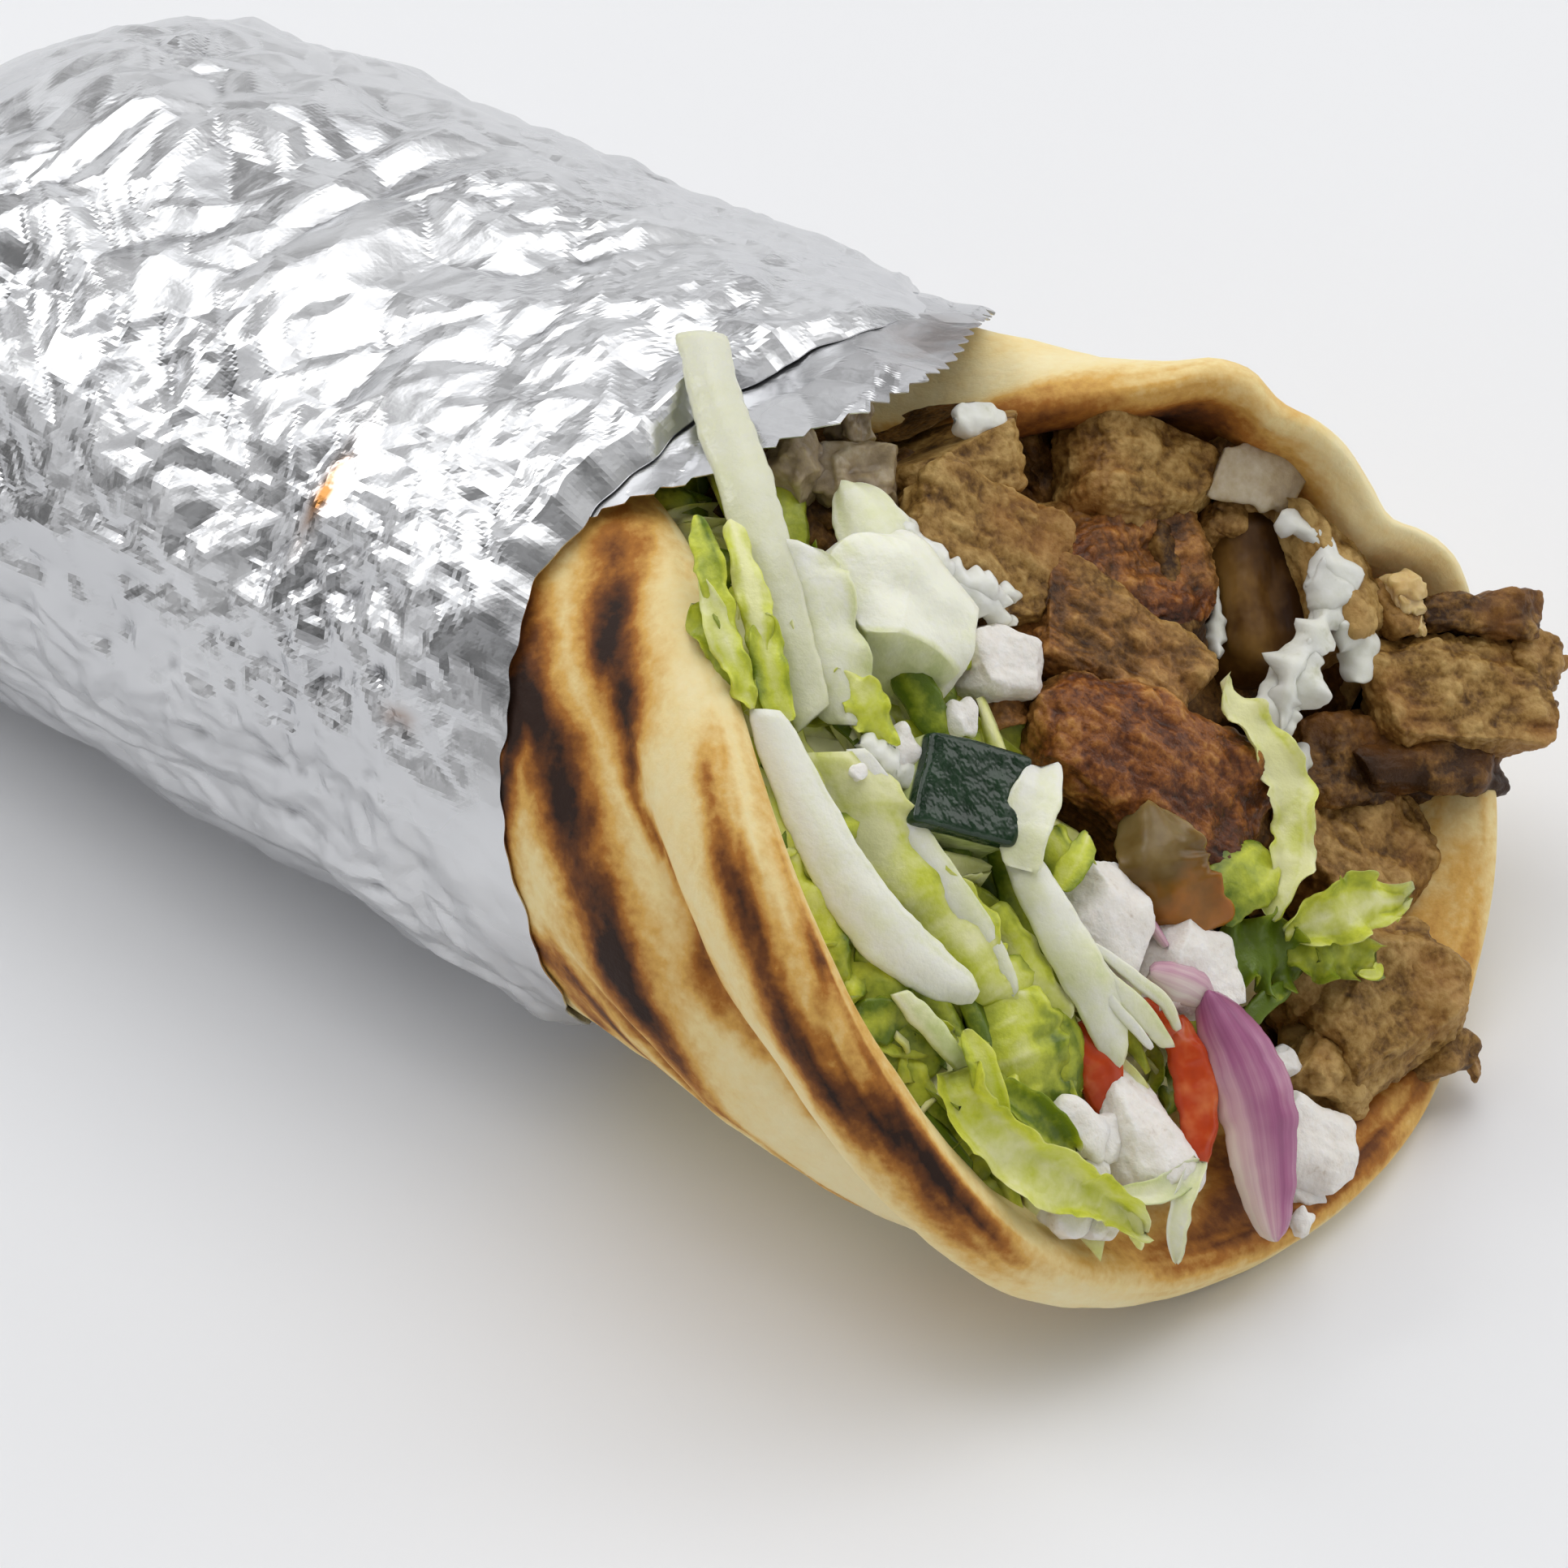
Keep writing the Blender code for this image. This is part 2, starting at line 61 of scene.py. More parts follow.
def piece(name, form, look, slot=None, stands_for=(), smooth=True):
    """One object from its form, its finish, and the slot and nodes that it stands for.

    The form holds places in millimetres, arrays of faces and the values that each point keeps for the finish.
    The signed volume is the sum of each triangle's a . (b x c) / 6. Below zero the faces are turned outwards.
    """
    places, faces, values = form
    points = metres(places)
    faces = [np.asarray(group) for group in faces]
    inside = points.mean(axis=0)
    volume = 0.0
    for group in faces:
        for k in range(1, group.shape[1] - 1):
            a, b, c = (points[group[:, corner]] - inside for corner in (0, k, k + 1))
            volume += np.einsum("ij,ij->", a, np.cross(b, c))
    if volume < 0:
        faces = [f[:, ::-1] for f in faces]
    mesh = bpy.data.meshes.new(name)
    corners = np.concatenate([f.ravel() for f in faces]).astype(np.int32)
    counts = np.concatenate([np.full(len(f), f.shape[1]) for f in faces])
    mesh.vertices.add(len(points))
    mesh.vertices.foreach_set("co", points.astype(np.float32).ravel())
    mesh.loops.add(len(corners))
    mesh.loops.foreach_set("vertex_index", corners)
    mesh.polygons.add(len(counts))
    mesh.polygons.foreach_set("loop_start", (np.cumsum(counts) - counts).astype(np.int32))
    for key, numbers in values.items():
        mesh.attributes.new(key, "FLOAT", "POINT").data.foreach_set("value", np.asarray(numbers, np.float32))
    mesh.update(calc_edges=True)
    mesh.validate()
    if smooth:
        mesh.shade_smooth()
    else:
        mesh.shade_flat()
    mesh.materials.append(look)
    made = bpy.data.objects.new(name, mesh)
    bpy.context.scene.collection.objects.link(made)
    if slot:
        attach(made, "root")
        if stands_for:
            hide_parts(*stands_for)
    return made


def add(tree, kind, sockets=None, **settings):
    """One shader node. sockets gives each input a value, or the output that feeds it."""
    made = tree.nodes.new("ShaderNode" + kind)
    for key, value in settings.items():
        setattr(made, key, value)
    for key, value in (sockets or {}).items():
        if isinstance(value, bpy.types.NodeSocket):
            tree.links.new(value, made.inputs[key])
        else:
            made.inputs[key].default_value = value
    return made


def ramp(tree, value, stops):
    """A colour for each value from 0 to 1. stops are (place, (red, green, blue))."""
    made = add(tree, "ValToRGB", {"Fac": value})
    elements = made.color_ramp.elements
    while len(elements) < len(stops):
        elements.new(0.5)
    for element, (place, colour) in zip(elements, stops):
        element.position = place
        element.color = (*colour, 1)
    return made.outputs["Color"]


def mixed(tree, share, first, second, **settings):
    """The first colour, changed to the second by the share."""
    sockets = {"Factor": share, 6: first, 7: second}
    return add(tree, "Mix", sockets, data_type="RGBA", **settings).outputs[2]


def remapped(tree, value, start, stop, first=0.0, last=1.0):
    """A value from start to stop, made one from first to last and held there beyond them."""
    sockets = {"Value": value, "From Min": start, "From Max": stop, "To Min": first, "To Max": last}
    return add(tree, "MapRange", sockets).outputs["Result"]


def finish(name, **plain):
    """A new material, its node tree and its shader, whose plain values are set by socket name."""
    made = bpy.data.materials.new(name)
    made.use_nodes = True
    shader = made.node_tree.nodes["Principled BSDF"]
    for key, value in plain.items():
        shader.inputs[key.replace("_", " ")].default_value = value
    return made, made.node_tree, shader


table, tree, shader = finish("pale_table", Roughness=0.6)
spot = add(tree, "TexCoord").outputs["Object"]
mottle = add(tree, "TexNoise", {"Vector": spot, "Scale": 3.0, "Detail": 2.0})
colour = ramp(tree, mottle.outputs["Fac"], [(0.3, (0.845, 0.85, 0.865)), (0.7, (0.865, 0.87, 0.885))])
tree.links.new(colour, shader.inputs["Base Color"])
SPAN = 3000.0  # half the table's side
corners = [[-SPAN, -SPAN, 0], [SPAN, -SPAN, 0], [SPAN, SPAN, 0], [-SPAN, SPAN, 0]]
piece("table", (corners, [np.array([[0, 1, 2, 3]])], {}), table)

room = bpy.data.worlds.new("room")
room.use_nodes = True
tree = room.node_tree
backdrop = tree.nodes["Background"]
way = add(tree, "TexCoord").outputs["Generated"]
DARKER_WAY = (0.44, -0.60, 0.66)
towards = add(tree, "VectorMath", {0: way, 1: DARKER_WAY}, operation="DOT_PRODUCT")
share = remapped(tree, towards.outputs["Value"], -1.0, 1.0)
viewer = ramp(tree, share, [(0.80, (1.0, 1.0, 1.0)), (0.97, (0.40, 0.40, 0.40))])
walls = add(tree, "TexNoise", {"Vector": way, "Scale": 3.4, "Detail": 2.0})
walls = ramp(
    tree,
    walls.outputs["Fac"],
    [
        (0.38, (0.06, 0.058, 0.055)),
        (0.46, (0.55, 0.55, 0.55)),
        (0.56, (0.96, 0.965, 0.98)),
        (0.66, (1.18, 1.19, 1.21)),
    ],
)
colour = mixed(tree, 1.0, walls, viewer, blend_type="MULTIPLY")
tree.links.new(colour, backdrop.inputs["Color"])
backdrop.inputs["Strength"].default_value = 1.0
bpy.context.scene.world = room


def panel(name, place, aim, size, power):
    """A square soft light at a place, facing another, both in metres."""
    lamp = bpy.data.lights.new(name, "AREA")
    lamp.shape, lamp.size, lamp.energy = "SQUARE", size, power
    made = bpy.data.objects.new(name, lamp)
    made.location = place
    made.rotation_euler = (Vector(aim) - Vector(place)).to_track_quat("-Z", "Y").to_euler()
    bpy.context.scene.collection.objects.link(made)


panel("panel_above", (-0.15, 0.70, 2.5), (0, 0, 0.02), 2.3, 22.0)
panel("panel_behind", (1.1, 1.7, 1.1), (0, 0, 0.02), 1.1, 5.5)
panel("panel_left", (-1.7, -0.3, 1.5), (0, 0, 0.02), 0.8, 8.0)
bpy.context.scene.view_settings.view_transform = "Standard"

AWAY = 0.62  # metres from the camera to what it looks at
lens = bpy.data.cameras.new("camera")
lens.lens = 152.9
camera = bpy.data.objects.new("camera", lens)
bpy.context.scene.collection.objects.link(camera)
target = Vector(metres((111, -5, 19)))
turn, rise = np.radians(35), np.radians(45)
back = Vector((np.sin(turn) * np.cos(rise), -np.cos(turn) * np.cos(rise), np.sin(rise)))
camera.location = target + AWAY * back
camera.rotation_euler = (-back).to_track_quat("-Z", "Y").to_euler()
bpy.context.scene.camera = camera

# ---- bread ----
# A soft round pita, baked and then striped dark on a ridged grill, rolled up round the filling. Its near edge
# folds back over the salad, with a crease where the bread bends, and its far edge stands up as a wall.

THICK = 6.5
DISC = {"middle": 92.0, "lip": 81.0, "tail": 76.0, "near": 89.0, "far": 88.0}  # its reach each way, flat
# The roll's section at each station: its two half widths, its height and how far it is lifted off the table.
STATIONS = (0.0, 8.0, 20.0, 50.0, 85.0, 105.0, 140.0, 176.0)
NEAR = (27.0, 30.0, 32.0, 35.0, 37.5, 39.5, 45.0, 47.0)
FAR = (32.0, 34.0, 35.0, 35.5, 37.0, 39.0, 41.5, 42.0)
HEIGHT = (35.0, 43.0, 50.0, 53.5, 55.0, 56.5, 67.0, 69.0)
LIFT = (1.8, 1.8, 1.8, 1.8, 1.8, 1.8, 0.0, 0.0)
SQUARE, FLAT = 2.3, 0.5  # how square the section is, and how much of it the table flattens
TURNS = np.linspace(-np.pi, np.pi, 481)


def through(stations, values, at):
    """A smooth curve through stations: cubic pieces whose slopes follow their neighbours."""
    stations, values = np.array(stations, float), np.array(values, float)
    slopes = np.gradient(values, stations)
    at = np.clip(np.asarray(at, float), stations[0], stations[-1])
    low = np.clip(np.searchsorted(stations, at, side="right") - 1, 0, len(stations) - 2)
    step = stations[low + 1] - stations[low]
    t = (at - stations[low]) / step
    return (
        (1 + 2 * t) * (1 - t) ** 2 * values[low]
        + t * (1 - t) ** 2 * step * slopes[low]
        + t * t * (3 - 2 * t) * values[low + 1]
        + t * t * (t - 1) * step * slopes[low + 1]
    )


def roll(along, turn, out=0.0):
    """The roll's outer skin, moved out along its normal.

    Its section is |y/half|^n + |z/half height|^n = 1 with n = SQUARE. turn is 0 at the bottom, -pi/2 at the
    near side and pi at the top. Below the table's level it is pressed flat.
    """
    sine, cosine = np.sin(turn), np.cos(turn)
    half = np.where(sine < 0, through(STATIONS, NEAR, along), through(STATIONS, FAR, along))
    half_height = through(STATIONS, HEIGHT, along) / 2
    across = np.sign(sine) * np.abs(sine) ** (2 / SQUARE)
    up = -np.sign(cosine) * np.abs(cosine) ** (2 / SQUARE)
    normal = np.stack(
        [
            np.sign(across) * np.abs(across) ** (SQUARE - 1) / half,
            np.sign(up) * np.abs(up) ** (SQUARE - 1) / half_height,
        ],
        -1,
    )
    normal /= np.linalg.norm(normal, axis=-1, keepdims=True)
    height = half_height * (1 + up) + through(STATIONS, LIFT, along) - FLAT + out * normal[..., 1]
    return np.stack([along + 0 * across, half * across + out * normal[..., 0], np.maximum(height, 0.0)], -1)


ARC_STEP = 1.5


def make_turn_table():
    """For each station, the distance round the roll from its bottom, at the bread's mid thickness."""
    stations = np.arange(12.0, 177.0, ARC_STEP)
    middle = roll(stations[:, None], TURNS, -THICK / 2)
    steps = np.linalg.norm(np.diff(middle, axis=1), axis=2)
    arcs = np.concatenate([np.zeros((len(stations), 1)), np.cumsum(steps, axis=1)], axis=1)
    return stations, arcs - arcs[:, [len(TURNS) // 2]]


ARC_STATIONS, ARC_TABLE = make_turn_table()
ARCS = np.arange(-110.0, 111.0)
TURN_TABLE = np.array([np.interp(ARCS, row, TURNS) for row in ARC_TABLE])


def turn_at(along, arc):
    """The turn at a distance round the roll: the table's four nearest entries, blended."""
    a = np.clip((along - ARC_STATIONS[0]) / ARC_STEP, 0, len(ARC_STATIONS) - 1.001)
    b = np.clip(arc - ARCS[0], 0, len(ARCS) - 1.001)
    i, j = a.astype(int), b.astype(int)
    s, t = a - i, b - j
    return (
        (1 - s) * ((1 - t) * TURN_TABLE[i, j] + t * TURN_TABLE[i, j + 1])
        + s * ((1 - t) * TURN_TABLE[i + 1, j] + t * TURN_TABLE[i + 1, j + 1])
    )


def cell_number(cells, seed):
    """A number from 0 to 1 for each cell of a lattice: its three counts stirred with large odd numbers."""
    number = (cells.astype(np.int64) @ np.array([73856093, 19349663, 83492791]) + 2654435 * seed) & 0x7FFFFFFF
    for stir in (1274126177, 2246822519):
        number = ((number ^ (number >> 15)) * stir) & 0x7FFFFFFF
    return ((number ^ (number >> 13)) % 65536) / 65536


def lumps(places, size, seed=0):
    """Smooth bumps from -1 to 1: numbers at the corners of a lattice of size mm, blended by 3t^2 - 2t^3."""
    scaled = np.asarray(places, float) / size
    low = np.floor(scaled).astype(int)
    t = scaled - low
    t = t * t * (3 - 2 * t)
    height = 0
    for corner in np.ndindex(2, 2, 2):
        corner = np.array(corner)
        height = height + np.prod(np.where(corner == 1, t, 1 - t), axis=-1) * cell_number(low + corner, seed)
    return 2 * height - 1


def rough(places, size, octaves, seed=0, fade=0.5):
    """Bumps of several sizes: each is half the size of the last and fade of its height."""
    return sum(fade**k * lumps(places, size / 2**k, seed + 11 * k) for k in range(octaves))


def climb(value, start, span):
    """0 up to start, 1 beyond start + span, and a straight line between them."""
    return np.clip((value - start) / span, 0, 1)


def bell(value, middle, width):
    """1 at the middle, falling away on both sides: exp(-(distance / width)^2)."""
    return np.exp(-(((value - middle) / width) ** 2))


def near_line(along, arc, line):
    """Nearness to a line drawn on the flat bread: exp(-(distance / half width)^2) times its strength.

    line holds (along, arc, half width, strength) at each of its points, blended between them.
    """
    most = np.zeros_like(along)
    line = np.array(line, float)
    for start, end in zip(line[:-1], line[1:]):
        step = end[:2] - start[:2]
        t = np.clip(((along - start[0]) * step[0] + (arc - start[1]) * step[1]) / (step @ step), 0, 1)
        away = np.hypot(along - start[0] - t * step[0], arc - start[1] - t * step[1])
        wide = start[2] + t * (end[2] - start[2])
        most = np.maximum(most, (start[3] + t * (end[3] - start[3])) * bell(away, 0, wide))
    return most


CREASE = [
    # along, arc, half width, strength
    (108, -71, 1.2, 0), (112, -70.5, 1.3, 0.6), (117, -68.6, 1.2, 1), (122.5, -65.7, 1.2, 1),
    (126.8, -62.8, 1.2, 1), (130, -59, 1.2, 1), (136.8, -55.5, 1.3, 0.9), (145, -49.5, 1.6, 0.8),
    (152, -44, 2, 0.3), (160, -38, 2, 0),
]
UNDER_FOLD = [
    (112, -50.5, 1.3, 0), (120.8, -48.5, 1.3, 0.9), (128, -44.6, 1.3, 1), (134.5, -43.5, 1.3, 1),
    (140, -41, 1.3, 0.8), (150, -34, 1.6, 0.4), (158, -28, 2, 0),
]
STRIPES = [
    # one dark bar each, along, arc, half width and strength at each of its points
    [(86, -81, 3.2, 0.8), (96, -72.6, 2.9, 0.95), (103, -67.4, 2.8, 1.0), (109.7, -63.5, 3.0, 0.98),
     (112.8, -61.2, 3.2, 1.05), (115.2, -59.3, 3.2, 1.15), (121, -55, 2.9, 1.05), (126.8, -50.4, 2.0, 0.72),
     (134, -44.8, 1.8, 0.65), (146, -35, 1.8, 0.5), (160, -24, 2.0, 0.3)],
    [(96, -73, 1.8, 1.0), (99.7, -69.2, 2.0, 1.2), (101.6, -66.5, 1.9, 1.2), (102.6, -63.6, 1.6, 1.2),
     (103.4, -60.8, 1.3, 1.2), (104.2, -58, 1.2, 1.1), (105.2, -55, 1.2, 1.1), (106.4, -51.4, 1.3, 1.0),
     (108.6, -48, 1.4, 0.9), (114, -42, 1.6, 0.7)],
    [(112, -49.5, 1.5, 0.7), (118, -44.6, 1.6, 0.8), (124, -40.5, 1.5, 0.6), (132, -35, 1.5, 0.3)],
    # The next bar runs on as a thin dark line along the crease from along 116: painted shade in the fold.
    [(96, -89, 3.2, 0.5), (101.5, -84, 3.1, 0.5), (104.6, -79, 2.9, 0.65), (108.6, -74.6, 2.8, 1.2),
     (113.0, -71.1, 2.3, 1.2), (116.5, -68.3, 1.0, 0.7), (123, -65.6, 0.6, 0.65), (129, -60.0, 1.5, 0.7),
     (132.2, -57.6, 1.4, 0.5), (136.8, -55.5, 0.8, 0.6), (145, -49.5, 0.9, 0.65), (152, -44, 1.0, 0.4),
     (160, -38, 1.2, 0.1)],
    [(121, -78, 0.9, 0.0), (125, -75.1, 1.1, 0.5), (129.5, -72.2, 1.3, 0.7), (135.6, -67.4, 1.7, 1.0),
     (141, -63.4, 1.9, 1.0), (146, -59.9, 2.2, 1.0), (152.5, -56.6, 2.9, 0.9), (158, -53.0, 3.1, 0.9),
     (163, -49.6, 2.9, 1.1), (167.5, -45.4, 2.3, 0.8), (170.5, -41.5, 1.8, 0.4), (172, -37, 1.5, 0.1)],
    [(137, -72.5, 0.9, 0.0), (141, -70, 1.2, 0.6), (147, -67.6, 1.6, 0.72), (152, -65, 1.3, 0.5),
     (156.5, -63, 1.0, 0.1)],
]
for bar in range(6):  # the grill's other bars, which cross the underside and the far side
    row = 14 * bar
    STRIPES.append([(70, row - 50, 1.6, 0.4), (110, row - 20, 1.8, 0.5), (150, row + 8, 1.6, 0.0)])


def patch_of(along, arc, at, size):
    """1 at a place on the flat bread, fading to 0 each way: a bell along times a bell round."""
    return bell(along, at[0], size[0]) * bell(arc, at[1], size[1])


def toast_and_shade_of(along, arc, ring, side):
    """How dark the bread is painted, 0 pale to 1 charred: grill bars, blotches, the browned rim and soaked-in
    juices, with painted shade along its folds, under the far rim and inside the far wall, and a little
    painted light on the far wall.

    ring is 0 at the disc's middle and 1 at its rim. side is 1 on the outer skin and -1 on the inner.
    """
    flat = np.stack([along, arc, 40 * side], -1)
    a = along + 1.1 * lumps(flat, 7, 5) + 0.4 * lumps(flat, 2, 6)
    b = arc + 1.1 * lumps(flat, 7, 7) + 0.4 * lumps(flat, 2, 8)
    outside, inner = np.clip(0.5 + 2 * side, 0, 1), np.clip(0.5 - side, 0, 1)

    def bars(times, more):
        """The bars' darkness, each made wider: half width * times + more."""
        wider = [[(p[0], p[1], times * p[2] + more, p[3]) for p in line] for line in STRIPES]
        return np.max([near_line(a, b, line) for line in wider], axis=0)

    patchy = np.clip(0.86 + 0.35 * rough(flat, 5, 3, 41), 0, 1.15)
    grill_marks_and_fold_shade = outside * (patchy * (0.70 * bars(1, 0) + 0.13 * bars(1.6, 0.6)) + 0.035 * bars(2.4, 2.5))
    # Painted shade: darker along the fold under the flap.
    grill_marks_and_fold_shade = np.maximum(grill_marks_and_fold_shade, outside * 0.5 * near_line(a, b, UNDER_FOLD))
    blotches = 0.03 + 0.06 * rough(flat, 16, 3, 21) + 0.06 * np.clip(lumps(flat, 5, 25), 0, 1)

    # The far wall: darker in a band under its rim and on its inside, browning and painted shade where they
    # lie in shadow, and more of both towards the tail.
    far, rim, tailward = climb(arc, 15, 25), climb(ring, 0.93, 0.07), climb(along, 146, -20)
    browned_and_shaded_under_rim = climb(-side, 0.45, 0.4) * bell(ring, 0.93, 0.05)
    golden = far * (0.02 + (0.04 + 0.55 * tailward) * browned_and_shaded_under_rim + 0.24 * inner * climb(ring, 0.93, -0.12))
    by_foil = 0.20 * patch_of(along, arc, (120, 76), (22, 11)) * np.clip(0.6 - side, 0, 1)
    golden = golden + far * tailward * (0.05 * rim + by_foil)
    golden = golden + 0.37 * patch_of(along, arc, (118.5, 83), (11, 4.0)) * climb(ring, 0.94, 0.04)
    # Painted light: paler on the far wall's upper side, where it lies in shade.
    golden = golden - 0.07 * far * patch_of(along, arc, (146, 62), (12, 9))
    # Painted shade: darker on the inside of the far wall by the lip.
    golden = golden + 0.09 * inner * patch_of(along, arc, (168, 30), (7, 12))

    # The lip: a little colour on its rim, brown juices behind it and a darker band just inside its rim. The
    # flap: a brown edge.
    lip = 1 - climb(np.abs(arc), 25, 20)
    golden = golden + inner * 0.05 + 0.05 * lip * rim
    soaked = 0.50 * inner * patch_of(along, arc, (166, -8), (7, 22))
    soaked = soaked * np.clip(0.8 + 0.5 * lumps(flat, 4, 45), 0, 1.2)
    seam = 0.34 * bell(side, -0.6, 0.4) * climb(ring, 0.92, 0.03) * patch_of(along, arc, (172, -4), (9, 26))
    seam = seam * np.clip(0.8 + lumps(flat, 5, 47), 0, 1.4)
    flap = 0.34 * climb(-arc, 38, 10) * climb(ring, 0.93, 0.05) * bell(along, 146, 17)
    flap = flap * bell(side, 0.15, 0.45) * np.clip(0.7 + lumps(flat, 5, 49), 0.2, 1.3)
    return np.clip(blotches + grill_marks_and_fold_shade + golden + soaked + seam + flap, 0, 1)


# The far rim is uneven: how far it stands out, by the degrees round the disc from the lip.
RIM_TURNS = (
    20, 25, 30, 35, 38, 40, 42.5, 45, 47, 50, 52.5, 55, 57.5, 60, 62, 65, 68, 71, 75, 80, 86, 95, 110,
)
RIM_RISE = (
    0, 0, 0.8, 2.9, 4.3, 4.4, 2.6, -0.1, 0.2, 1.1, 1.2, 0.8, 2.2, 1.9, 0.2, -1.4, -2.6, -3.8, -5.0, -5.0,
    -3.0, -1.0, 0,
)


def sunk(along, turn):
    """How far the upper far side sinks outside the foil: a bell along times a bell round, 3.2 mm deep."""
    return 3.2 * bell(along, 108, 9.5) * bell(np.degrees(np.mod(turn, 2 * np.pi)), 148, 20)


def bread_grid(ring, angle, side):
    """The disc's skin once it is rolled up: where it lies flat, and its place.

    The disc's edge wobbles by a few sines. The skin bulges out beside the two folds along the flap, sinks in
    at them and at the creases, and is uneven by slow and fine lumps. Its rim is raised where the far wall
    stands uneven, and it is thinner there.
    """
    cosine, sine = np.cos(angle), np.sin(angle)
    wobble = 1 + 0.008 * np.sin(3 * angle + 1) + 0.006 * np.sin(7 * angle) + 0.004 * np.sin(13 * angle + 2)
    lip_reach = 0.03 * bell(np.mod(angle + 0.12 + np.pi, 2 * np.pi) - np.pi, 0, 0.35)
    reach = ring * (1 + (wobble - 1.014 + lip_reach) * climb(ring, 0.7, 0.3))
    along = DISC["middle"] + reach * np.where(cosine > 0, DISC["lip"], DISC["tail"]) * cosine
    arc = reach * np.where(sine > 0, DISC["far"], DISC["near"]) * sine
    beyond = np.maximum(0.0, 1 - ((along - DISC["middle"]) / DISC["lip"]) ** 2)
    from_edge = arc + DISC["near"] * np.sqrt(beyond)
    ridges = bell(from_edge, 8.6, 7) + bell(from_edge, 32.3, 7) - bell(from_edge, 19, 4.5)
    freed = climb(along + 0.12 * (arc + 80), 99, 6) * climb(along, 138, -20)
    bulge = (1.3 * climb(along, 107, 14) * ridges + 0.9 * freed * bell(arc, -62, 22)) * (0.6 + 0.4 * side)
    folded = 1.0 * near_line(along, arc, CREASE) + 0.9 * near_line(along, arc, UNDER_FOLD)
    bulge = bulge - np.clip(side, 0, 1) * folded
    flat = np.stack([along, arc, 30 * side], -1)
    skin = 0.35 * rough(flat, 13, 3, 31) + 0.10 * rough(flat, 3.2, 2, 33)
    bulge = bulge + skin * np.clip(0.3 + np.abs(side), 0, 1) * np.sign(side + 1e-9)
    bulge = bulge + through(RIM_TURNS, RIM_RISE, np.degrees(angle)) * climb(ring, 0.8, 0.16)
    thinned = 1 - 0.42 * np.exp(-(((angle - 0.75) / 0.24) ** 4)) * climb(ring, 0.5, 0.3)
    turn = turn_at(along, arc)
    inset = THICK * thinned * (0.5 - 0.5 * side) - bulge + sunk(along, turn)
    return along, arc, roll(along, turn, -inset)


def quads(rows, columns, start=0, closed=False):
    """The faces of a grid of points that are counted row by row. A closed grid joins its sides."""
    numbers = start + np.arange(rows * columns).reshape(rows, columns)
    if closed:
        numbers = np.concatenate([numbers, numbers[:, :1]], axis=1)
    corners = [numbers[:-1, :-1], numbers[1:, :-1], numbers[1:, 1:], numbers[:-1, 1:]]
    return np.stack(corners, -1).reshape(-1, 4)


def fan(centre, ring_start, count, reverse=False):
    """Triangles from a pole to the ring of points round it."""
    k = np.arange(count)
    a, b = ring_start + k, ring_start + (k + 1) % count
    return np.stack([np.full(count, centre), b, a] if reverse else [np.full(count, centre), a, b], -1)


def capped(grid):
    """A closed skin from a stack of rings: each ring joins itself, and a pole closes each end."""
    rows, columns = grid.shape[:2]
    count = rows * columns
    places = np.concatenate([grid.reshape(-1, 3), grid[[0, -1]].mean(axis=1)])
    return places, [
        quads(rows, columns, closed=True),
        fan(count, 0, columns),
        fan(count + 1, count - columns, columns, reverse=True),
    ]


SPOKES = 460
rings_out = np.concatenate([np.linspace(0.02, 0.6, 22), np.linspace(0.61, 0.918, 46)])
rings_in = np.concatenate([np.linspace(0.915, 0.55, 26), np.linspace(0.5, 0.02, 8)])
round_rim = np.linspace(0, np.pi, 26)
ring = np.concatenate([rings_out, 0.92 + 0.08 * np.sin(round_rim), rings_in])
side = np.concatenate([np.ones(len(rings_out)), np.cos(round_rim), -np.ones(len(rings_in))])
ring, angle = np.meshgrid(ring, np.linspace(0, 2 * np.pi, SPOKES, endpoint=False), indexing="ij")
side = np.repeat(side[:, None], SPOKES, axis=1)
along, arc, grid = bread_grid(ring, angle, side)
places, faces = capped(grid)
toast_and_painted_shade = np.append(toast_and_shade_of(along, arc, ring, side), [0.1, 0.1])

grain_group = bpy.data.node_groups.new("grain", "ShaderNodeTree")
grain_group.interface.new_socket("Vector", in_out="INPUT", socket_type="NodeSocketVector")
for label in ("Scale", "Detail", "Spread"):
    grain_group.interface.new_socket(label, in_out="INPUT", socket_type="NodeSocketFloat")
for label in ("Value", "Height"):
    grain_group.interface.new_socket(label, in_out="OUTPUT", socket_type="NodeSocketFloat")
enter, leave = grain_group.nodes.new("NodeGroupInput"), grain_group.nodes.new("NodeGroupOutput")
sockets = {label: enter.outputs[label] for label in ("Vector", "Scale", "Detail")}
noise = add(grain_group, "TexNoise", {**sockets, "Roughness": 0.6})
centred = add(grain_group, "Math", {0: noise.outputs["Fac"], 1: 0.5}, operation="SUBTRACT").outputs["Value"]
spread = add(grain_group, "Math", {0: centred, 1: enter.outputs["Spread"]}, operation="MULTIPLY")
grain_group.links.new(spread.outputs["Value"], leave.inputs["Value"])
grain_group.links.new(noise.outputs["Fac"], leave.inputs["Height"])


def grain(tree, scale, detail, spread, vector=None):
    """The shared grain of every food here: noise spread evenly round zero, and the same noise as a height."""
    vector = vector or add(tree, "TexCoord").outputs["Object"]
    sockets = {"Vector": vector, "Scale": scale, "Detail": detail, "Spread": spread}
    made = add(tree, "Group", sockets, node_tree=grain_group)
    return made.outputs["Value"], made.outputs["Height"]


def kept(tree, name):
    """The number that the mesh keeps under a name at each of its points."""
    return add(tree, "Attribute", attribute_name=name).outputs["Fac"]


def total(tree, first, *more):
    """The sum of numbers and outputs."""
    for value in more:
        first = add(tree, "Math", {0: first, 1: value}, operation="ADD").outputs["Value"]
    return first


